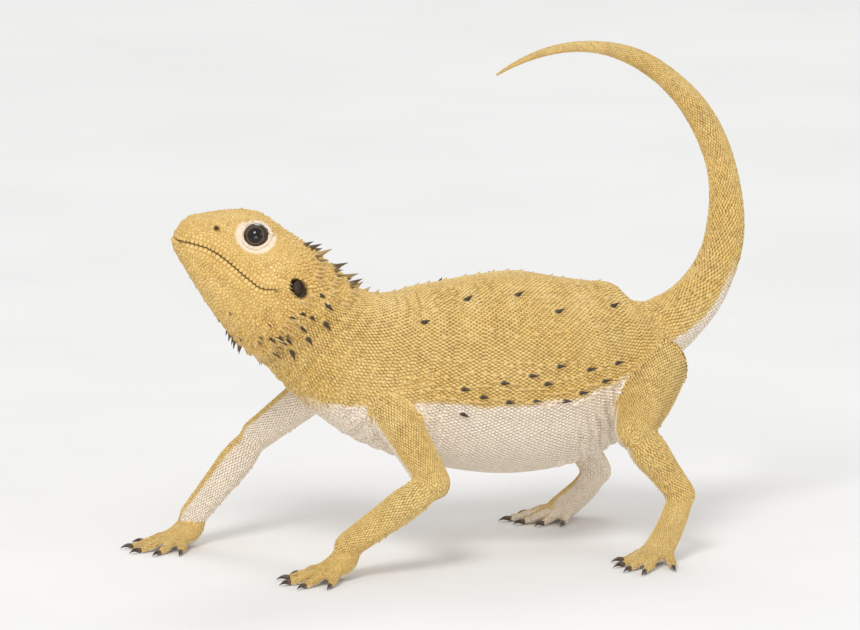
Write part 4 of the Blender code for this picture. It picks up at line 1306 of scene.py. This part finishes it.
# The keels stand tall on the back, low on the belly, hands and feet, and nearly flat on the soles.
relief = np.where(nearest == 0, 1.15 - 0.75 * smooth_step(around, 1.6, 2.0) * smooth_step(at, 80, 100), 0.95)
relief = np.where(on_extremity, 0.7, relief)
relief = np.where(roots[:, 2] < 1.5, 0.25, relief)
for name, chosen in groups.items():
    picks = np.flatnonzero(chosen)
    varied = 1 + 0.10 * chance.normal(size=(len(picks), 3)).clip(-2, 2)
    sizes = grain[picks][:, None] * np.array((1.06, 1.10, 1.0)) * varied
    sizes[:, :2] *= np.where(ranks[picks] == LOOSE, 1.25, 1.0)[:, None]
    sizes[:, 2] *= relief[picks]
    coat(name, bed, picks, keeled, keeled_faces, keeled_tips, scale_finish, sizes)

# ------------------------------------------------------------------ plates of the head
# Low horny plates on the head and jaw, fitted edge to edge like paving, with some drawn up to points behind
# the ears. Each reaches halfway to its neighbours, and no further than the rim of an ear or a nostril.

corners_round = 9
picks = np.flatnonzero(plate)
crowd, guarded = crowd_of(roots), crowd_of(guards)
turns = np.arange(corners_round) / corners_round * 2 * math.pi
spread = np.zeros((len(picks), corners_round))
for row, pick in enumerate(picks):
    others = [other for _, other, _ in crowd.find_n(roots[pick], 13) if other != pick]
    held_off = [other for _, other, far in guarded.find_n(roots[pick], 5) if far < 2.4]
    gap = np.vstack([roots[others], guards[held_off].reshape(-1, 3)]) - roots[pick]
    flat = np.column_stack([gap @ bed.lie[pick], gap @ bed.beside[pick]])
    facing = flat @ np.array((np.cos(turns), np.sin(turns)))
    halfway = np.sum(flat**2, axis=1)[:, None] / (2 * np.maximum(facing, 1e-3))
    spread[row] = np.where(facing > 1e-3, halfway, 9.0).min(axis=0)
spread = np.minimum(spread, 1.25 * grain[picks][:, None])
ring_eye = off_eyes(roots[picks])
local = head_place(roots[picks])
behind_ear = smooth_step(local[:, 0], 38, 56)
pointed = chance.random(len(picks)) < 0.10 + 0.35 * behind_ear * (around[picks] < 2.6)
pointed &= (ring_eye > 2.1) & (ranks[picks] != LIP)
tall = np.where(pointed, 0.50 + 0.35 * behind_ear, 0.16 + 0.05 * chance.random(len(picks)))
tall = np.where(ring_eye < 2.1, 0.22, tall) * np.mean(spread, axis=1) * 2


def pointed_faces(sides, rings):
    """Faces of a solid with rings of corners, closed below by the first and drawn to a point at the top."""
    pairs = [(k, (k + 1) % sides) for k in range(sides)]
    faces, last = [], (rings - 1) * sides
    for low in range(0, last, sides):
        high = low + sides
        faces += [(low + a, low + b, high + b, high + a) for a, b in pairs]
    faces += [(last + a, last + b, last + sides) for a, b in pairs]
    return [*faces, tuple(range(sides - 1, -1, -1))]


def ring_of(share, height):
    """Corners of the plates at this share of their spread, and at this height."""
    height = np.broadcast_to(height, spread.shape)
    return np.stack([spread * share * np.cos(turns), spread * share * np.sin(turns), height], -1)


shoulder = (np.where(pointed, 0.45, 0.86) * tall)[:, None]
apex = np.stack([np.where(pointed, 0.55, 0.10) * spread.mean(axis=1), np.zeros(len(picks)), tall], -1)
foot_share, foot_depth, shoulder_share = 0.97, -0.22, 0.74
plate_rings = ring_of(foot_share, foot_depth), ring_of(shoulder_share, shoulder)
plates = np.concatenate([*plate_rings, apex[:, None]], 1)
plate_faces = pointed_faces(corners_round, 2)
# The plates' sunk rim counts as root and takes the painted shade. Their shoulders and apex take the pale and
# the painted highlight.
plate_tips = [*np.repeat((0.0, 0.62), corners_round), 0.8]
on_jaw = local[:, 2] <= -2.5
for name, part in (("head_plates", ~on_jaw), ("jaw_plates", on_jaw)):
    piece = coat(name, bed, picks[part], plates[part], plate_faces, plate_tips, scale_finish)
    piece.data.shade_smooth()
    piece.data.set_sharp_from_angle(angle=math.radians(50))

# ------------------------------------------------------------------ spines
# Longer, harder scales drawn out to points: rows low on each flank, a fringe round the jaw and throat, a
# crest on the nape, and scattered ones on back, limbs and tail. Those of the dark marks have black tips.

spine_finish = Finish.start("horny_spine", 0.42, Specular_IOR_Level=0.5)
colour, fine = hide_colours()
tip = Finish.reading("tip")
pale_horn = Finish.mix(Finish.reading("cream") * 0.6, (0.70, 0.50, 0.22), (0.80, 0.68, 0.50))
colour = Finish.mix(tip.between(0.10, 0.50) * 0.65, colour, pale_horn)
blackened = tip.between(0.12, 0.42) * Finish.reading("inked")
colour = Finish.mix(blackened, colour, (0.035, 0.020, 0.010))
worn = Finish.bump(Finish.noise(1200.0), 0.00005, 0.5)
Finish.feed(Base_Color=colour, Roughness=0.34 + 0.2 * fine, Normal=worn)

spots = []


def spot(places, length, width, inked, rise):
    """Spines at these places: length, half width, share of black at the tip, and how far they stand up."""
    columns = [np.broadcast_to(value, len(places)) for value in (length, width, inked, rise)]
    spots.append(np.column_stack([places, *columns]))


def on_body(at, turn):
    """Places on the body's outline at these distances along it and turns round it."""
    return body.rim(np.asarray(at, float), np.asarray(turn, float))


def uneven(count, amount):
    """A little chance, so that a row isn't ruled with a straight edge."""
    return amount * chance.normal(size=count)


# Flank: turn from the top, first and last place along the body, number and length.
flank_rows = (
    (1.68, 112, 222, 32, 4.8),
    (1.57, 116, 218, 27, 4.0),
    (1.46, 120, 214, 23, 3.2),
    (1.32, 128, 206, 15, 2.7),
)
# Beard, from the ears forward under the jaw: place along the body, first and last turn, number and length.
beard_rows = (
    (66.0, 1.15, 2.95, 20, 3.4),
    (61.5, 1.35, 3.05, 20, 4.4),
    (57.0, 1.65, 3.05, 17, 4.2),
    (52.0, 1.95, 3.05, 13, 3.6),
    (46.5, 2.10, 3.05, 11, 3.0),
    (40.5, 2.20, 3.05, 9, 2.4),
    (34.5, 2.30, 3.05, 8, 1.8),
)
nape_rows = ((58.0, 0.16, 0.98, 7, 4.8), (63.5, 0.06, 1.05, 8, 4.4), (69.5, 0.12, 0.95, 6, 3.8))
# Back: turn from the top, number, and gap from one to the next.
back_rows = ((0.24, 15, 8.6), (0.62, 13, 9.6), (1.0, 10, 11.5))
# Dark marks: place along the body and turn, with the length of those on the side of the head and throat.
dark_back = ((114.5, 0.83), (137.9, 0.52), (164.7, 0.53), (185.9, 0.77), (219.4, 0.71))
dark_flank = (
    (136.7, 1.59), (145.2, 1.64), (138.3, 1.84), (153.9, 1.51), (156.7, 1.67), (166.7, 1.44), (173.9, 1.52),
    (168.7, 1.66), (180.7, 1.37), (182.0, 1.68), (195.5, 1.44), (190.2, 1.63), (202.1, 1.58), (210.5, 1.46),
)
dark_jaw = (
    (66.5, 1.29, 5.4),
    (71.6, 1.53, 5.4),
    (58.0, 1.69, 3.4),
    (61.5, 1.60, 3.4),
    (66.1, 1.58, 3.4),
    (66.6, 1.75, 4.0),
    (72.1, 1.82, 4.8),
    (51.4, 1.93, 3.0),
    (55.0, 2.13, 4.2),
    (57.5, 2.05, 4.2),
    (61.0, 2.10, 4.2),
    (66.5, 2.02, 4.0),
    (68.0, 2.35, 4.6),
    (72.5, 2.14, 5.2),
    (63.5, 1.22, 3.4),
)
dark_throat = ((41.5, 2.95, 3.6), (45.0, 3.02, 4.4), (48.5, 3.08, 4.2))
for flank in (-1.0, 1.0):
    for turn, first, last, count, long in flank_rows:
        at = np.linspace(first, last, count) + uneven(count, 0.5)
        wave = 0.035 * np.sin(at * 0.11) + uneven(count, 0.02)
        strength = 0.62 + 0.38 * np.sin(math.pi * (at - first) / (last - first))
        spot(on_body(at, flank * (turn + wave)), long * strength, 1.05, 0.08, 0.6)
    for along, low, high, count, long in beard_rows:
        turn = np.linspace(low, high, count) + uneven(count, 0.02)
        at = along + uneven(count, 0.7)
        grow = 0.75 + 0.35 * np.exp(-(((turn - 1.9) / 0.5) ** 2))
        black = np.where(chance.random(count) < 0.12, 0.8, 0.1)
        spot(on_body(at, flank * turn), long * grow, 1.05, black, 0.68)
    for along, low, high, count, long in nape_rows:
        turn = np.linspace(low, high, count)
        at = along + 2.0 * np.sin(turn * 1.5) + uneven(count, 0.4)
        grow = 0.8 + 0.3 * chance.random(count)
        spot(on_body(at, flank * turn), long * grow, 1.35, 0.2 + 0.6 * (turn < 0.35), 0.9)
    for turn, count, gap in back_rows:
        at = 104 + np.arange(count) * gap + uneven(count, 1.0)
        spot(on_body(at, flank * (turn + uneven(count, 0.05))), 2.6, 1.3, 0.08, 0.62)
    at = np.arange(232, 286, 4.2)
    count = len(at)
    spot(on_body(at, flank * (1.45 + uneven(count, 0.06))), np.linspace(3.2, 2.0, count), 1.0, 0.08, 0.6)
    spot(on_body(at + 2.0, flank * (0.75 + uneven(count, 0.08))), 2.2, 0.95, 0.08, 0.6)
    at, turn = np.transpose(dark_back)
    spot(on_body(at, flank * turn), 4.6, 1.9, 1.0, 0.75)
    at, turn = np.transpose(dark_flank)
    spot(on_body(at, flank * turn), 4.8, 1.7, 1.0, 0.65)
    at, turn, long = np.transpose(dark_jaw)
    spot(on_body(at, flank * turn), long, 0.50 + 0.28 * long, 1.0, 0.65)
    at, turn, long = np.transpose(dark_throat)
    spot(on_body(at, flank * turn), long, 1.3, 0.9, 1.1)

# The crest down the nape: place along the body, length, and share of black.
crest = np.array(
    (
        (52.0, 4.4, 0.9),
        (55.5, 5.6, 0.9),
        (59.5, 6.4, 0.45),
        (64.0, 6.2, 0.9),
        (68.0, 6.0, 0.6),
        (72.0, 5.0, 0.9),
        (77.0, 3.6, 0.5),
        (83.0, 2.8, 0.3),
        (90.0, 2.2, 0.2),
    )
)
at, long, black = crest.T
spot(on_body(at, uneven(len(at), 0.02)), long, 0.9 + 0.17 * long, black, 1.25)
to_a_limb = 26
for strand, on_limb in zip(strands, is_limb):
    for _ in range(to_a_limb * on_limb):
        at, turn = chance.uniform(4, strand.at[-1] - 10), chance.uniform(-1.3, 1.3)
        spot(strand.rim(np.array([at]), np.array([turn])), 1.9, 0.85, 0.15, 0.5)

# Small ones along each brow and its upper lid, and round the back of each ear.
brow_line = np.array(
    (
        (16, 13.2, 20.8),
        (20, 14.6, 22.6),
        (24, 16.0, 24.0),
        (28, 17.0, 24.9),
        (32, 17.8, 25.2),
        (36, 18.6, 24.8),
        (40, 19.4, 24.0),
    )
)
lash_turn, lash_dome = np.radians(np.linspace(20, 160, 15)), math.sqrt(51.0)
ear_turn, ear_margin = np.radians(np.arange(150, 345, 22)), 1.3
for flank, axes in zip((-1.0, 1.0), eye_axes):
    spot(on_lids(axes, 1.22, lash_turn, lash_dome), 0.95, 0.34, 0.0, 0.9)
    spot(in_head(*(brow_line * (1, flank, 1)).T), 1.5, 0.95, 0.1, 0.5)
    rim = ear_place + np.outer(np.cos(ear_turn) * (ear_long + ear_margin), ear_slant)
    rim += np.outer(np.sin(ear_turn) * (ear_wide + ear_margin), ear_across)
    spot(in_head(*(rim * (1, flank, 1)).T), 1.9, 0.75, 0.3, 0.7)

spots = np.vstack(spots)
bed = Bed(spots[:, :3], 4.5)
length, width, bed.readings["inked"], rise = spots[bed.kept, 3:].T
# Rings of a spine from its root: share of its width, and of the way to its tip. The first lies in the hide.
spine_rings = ((1.05, 0.0), (0.86, 0.10), (0.55, 0.38), (0.26, 0.72))
root_depth, sides = 0.28, 7
turns = np.arange(sides) / sides * 2 * math.pi
spine = []
for wide, share in spine_rings:
    across = (width * wide)[:, None]
    along = (share * length * (1 - 0.25 * rise))[:, None]
    high = share**1.15 * length * rise * 0.85 + 0.15 if share else np.full(len(length), -root_depth)
    x = along + np.cos(turns) * across * (1.25 - 0.3 * share)
    y = np.sin(turns) * across * 0.85
    lean = np.maximum(-np.cos(turns) * across * 0.55 * share, -0.6)
    spine.append(np.stack([x, y, high[:, None] + lean], -1))
point = [length * (1 - 0.25 * rise) * 1.05, np.zeros(len(length)), length * rise * 0.85 + 0.2]
spine = np.concatenate([*spine, np.stack(point, -1)[:, None]], 1)
spine_faces = pointed_faces(sides, len(spine_rings))
spine_tips = [*np.repeat((0.0, 0.15, 0.45, 0.78), sides), 1.0]
piece = coat("spines", bed, np.arange(len(length)), spine, spine_faces, spine_tips, spine_finish)
piece.data.shade_smooth()

# ------------------------------------------------------------------ floor, light and camera
# A plain pale floor under a soft, even sky, with one broad lamp high in front, one low in front for the
# belly, and weaker ones to the side and behind. The camera looks from ahead of the lizard's side and above.

bpy.ops.mesh.primitive_plane_add(size=8.0, location=(0, 0, 0))
floor = bpy.context.object
floor.name = "pale_floor"
paper = Finish.start("pale_paper", 0.9, Specular_IOR_Level=0.1)
clouding = Finish.noise(6.0).between(0.3, 0.7)
Finish.feed(Base_Color=Finish.mix(clouding, (0.83, 0.83, 0.83), (0.86, 0.86, 0.86)))
floor.data.materials.append(paper)

world = bpy.data.worlds.new("studio")
bpy.context.scene.world = world
world.use_nodes = True
world.node_tree.nodes["Background"].inputs["Color"].default_value = (1.0, 0.995, 0.985, 1)
world.node_tree.nodes["Background"].inputs["Strength"].default_value = 0.66
middle = Vector(to_frame(np.array((-28.1, 0, 105.5))))
for name, offset, size, power in (
    ("key", (-1.1, -1.5, 2.1), 1.0, 31.0),
    ("fill", (1.9, -1.3, 1.1), 1.4, 6.0),
    ("rim", (0.7, 1.8, 1.9), 1.0, 12.0),
    ("low", (-0.9, -2.8, 0.15), 1.6, 20.0),
):
    lamp = bpy.data.lights.new(name, "AREA")
    lamp.shape = "DISK"
    lamp.size = size
    lamp.energy = power
    holder = bpy.data.objects.new(name, lamp)
    bpy.context.scene.collection.objects.link(holder)
    holder.location = middle + Vector(offset)
    holder.rotation_euler = (-Vector(offset)).to_track_quat("-Z", "Y").to_euler()

bpy.context.scene.view_settings.view_transform = "Standard"
camera = bpy.data.objects.new("camera", bpy.data.cameras.new("camera"))
bpy.context.scene.collection.objects.link(camera)
forward, camera_away = Vector((0.3033, 0.9336, -0.1908)), 4.5
camera.rotation_euler = forward.to_track_quat("-Z", "Y").to_euler()
camera.location = middle - forward.normalized() * camera_away
camera.data.lens = 423.2
camera.data.clip_end = 50
bpy.context.scene.camera = camera
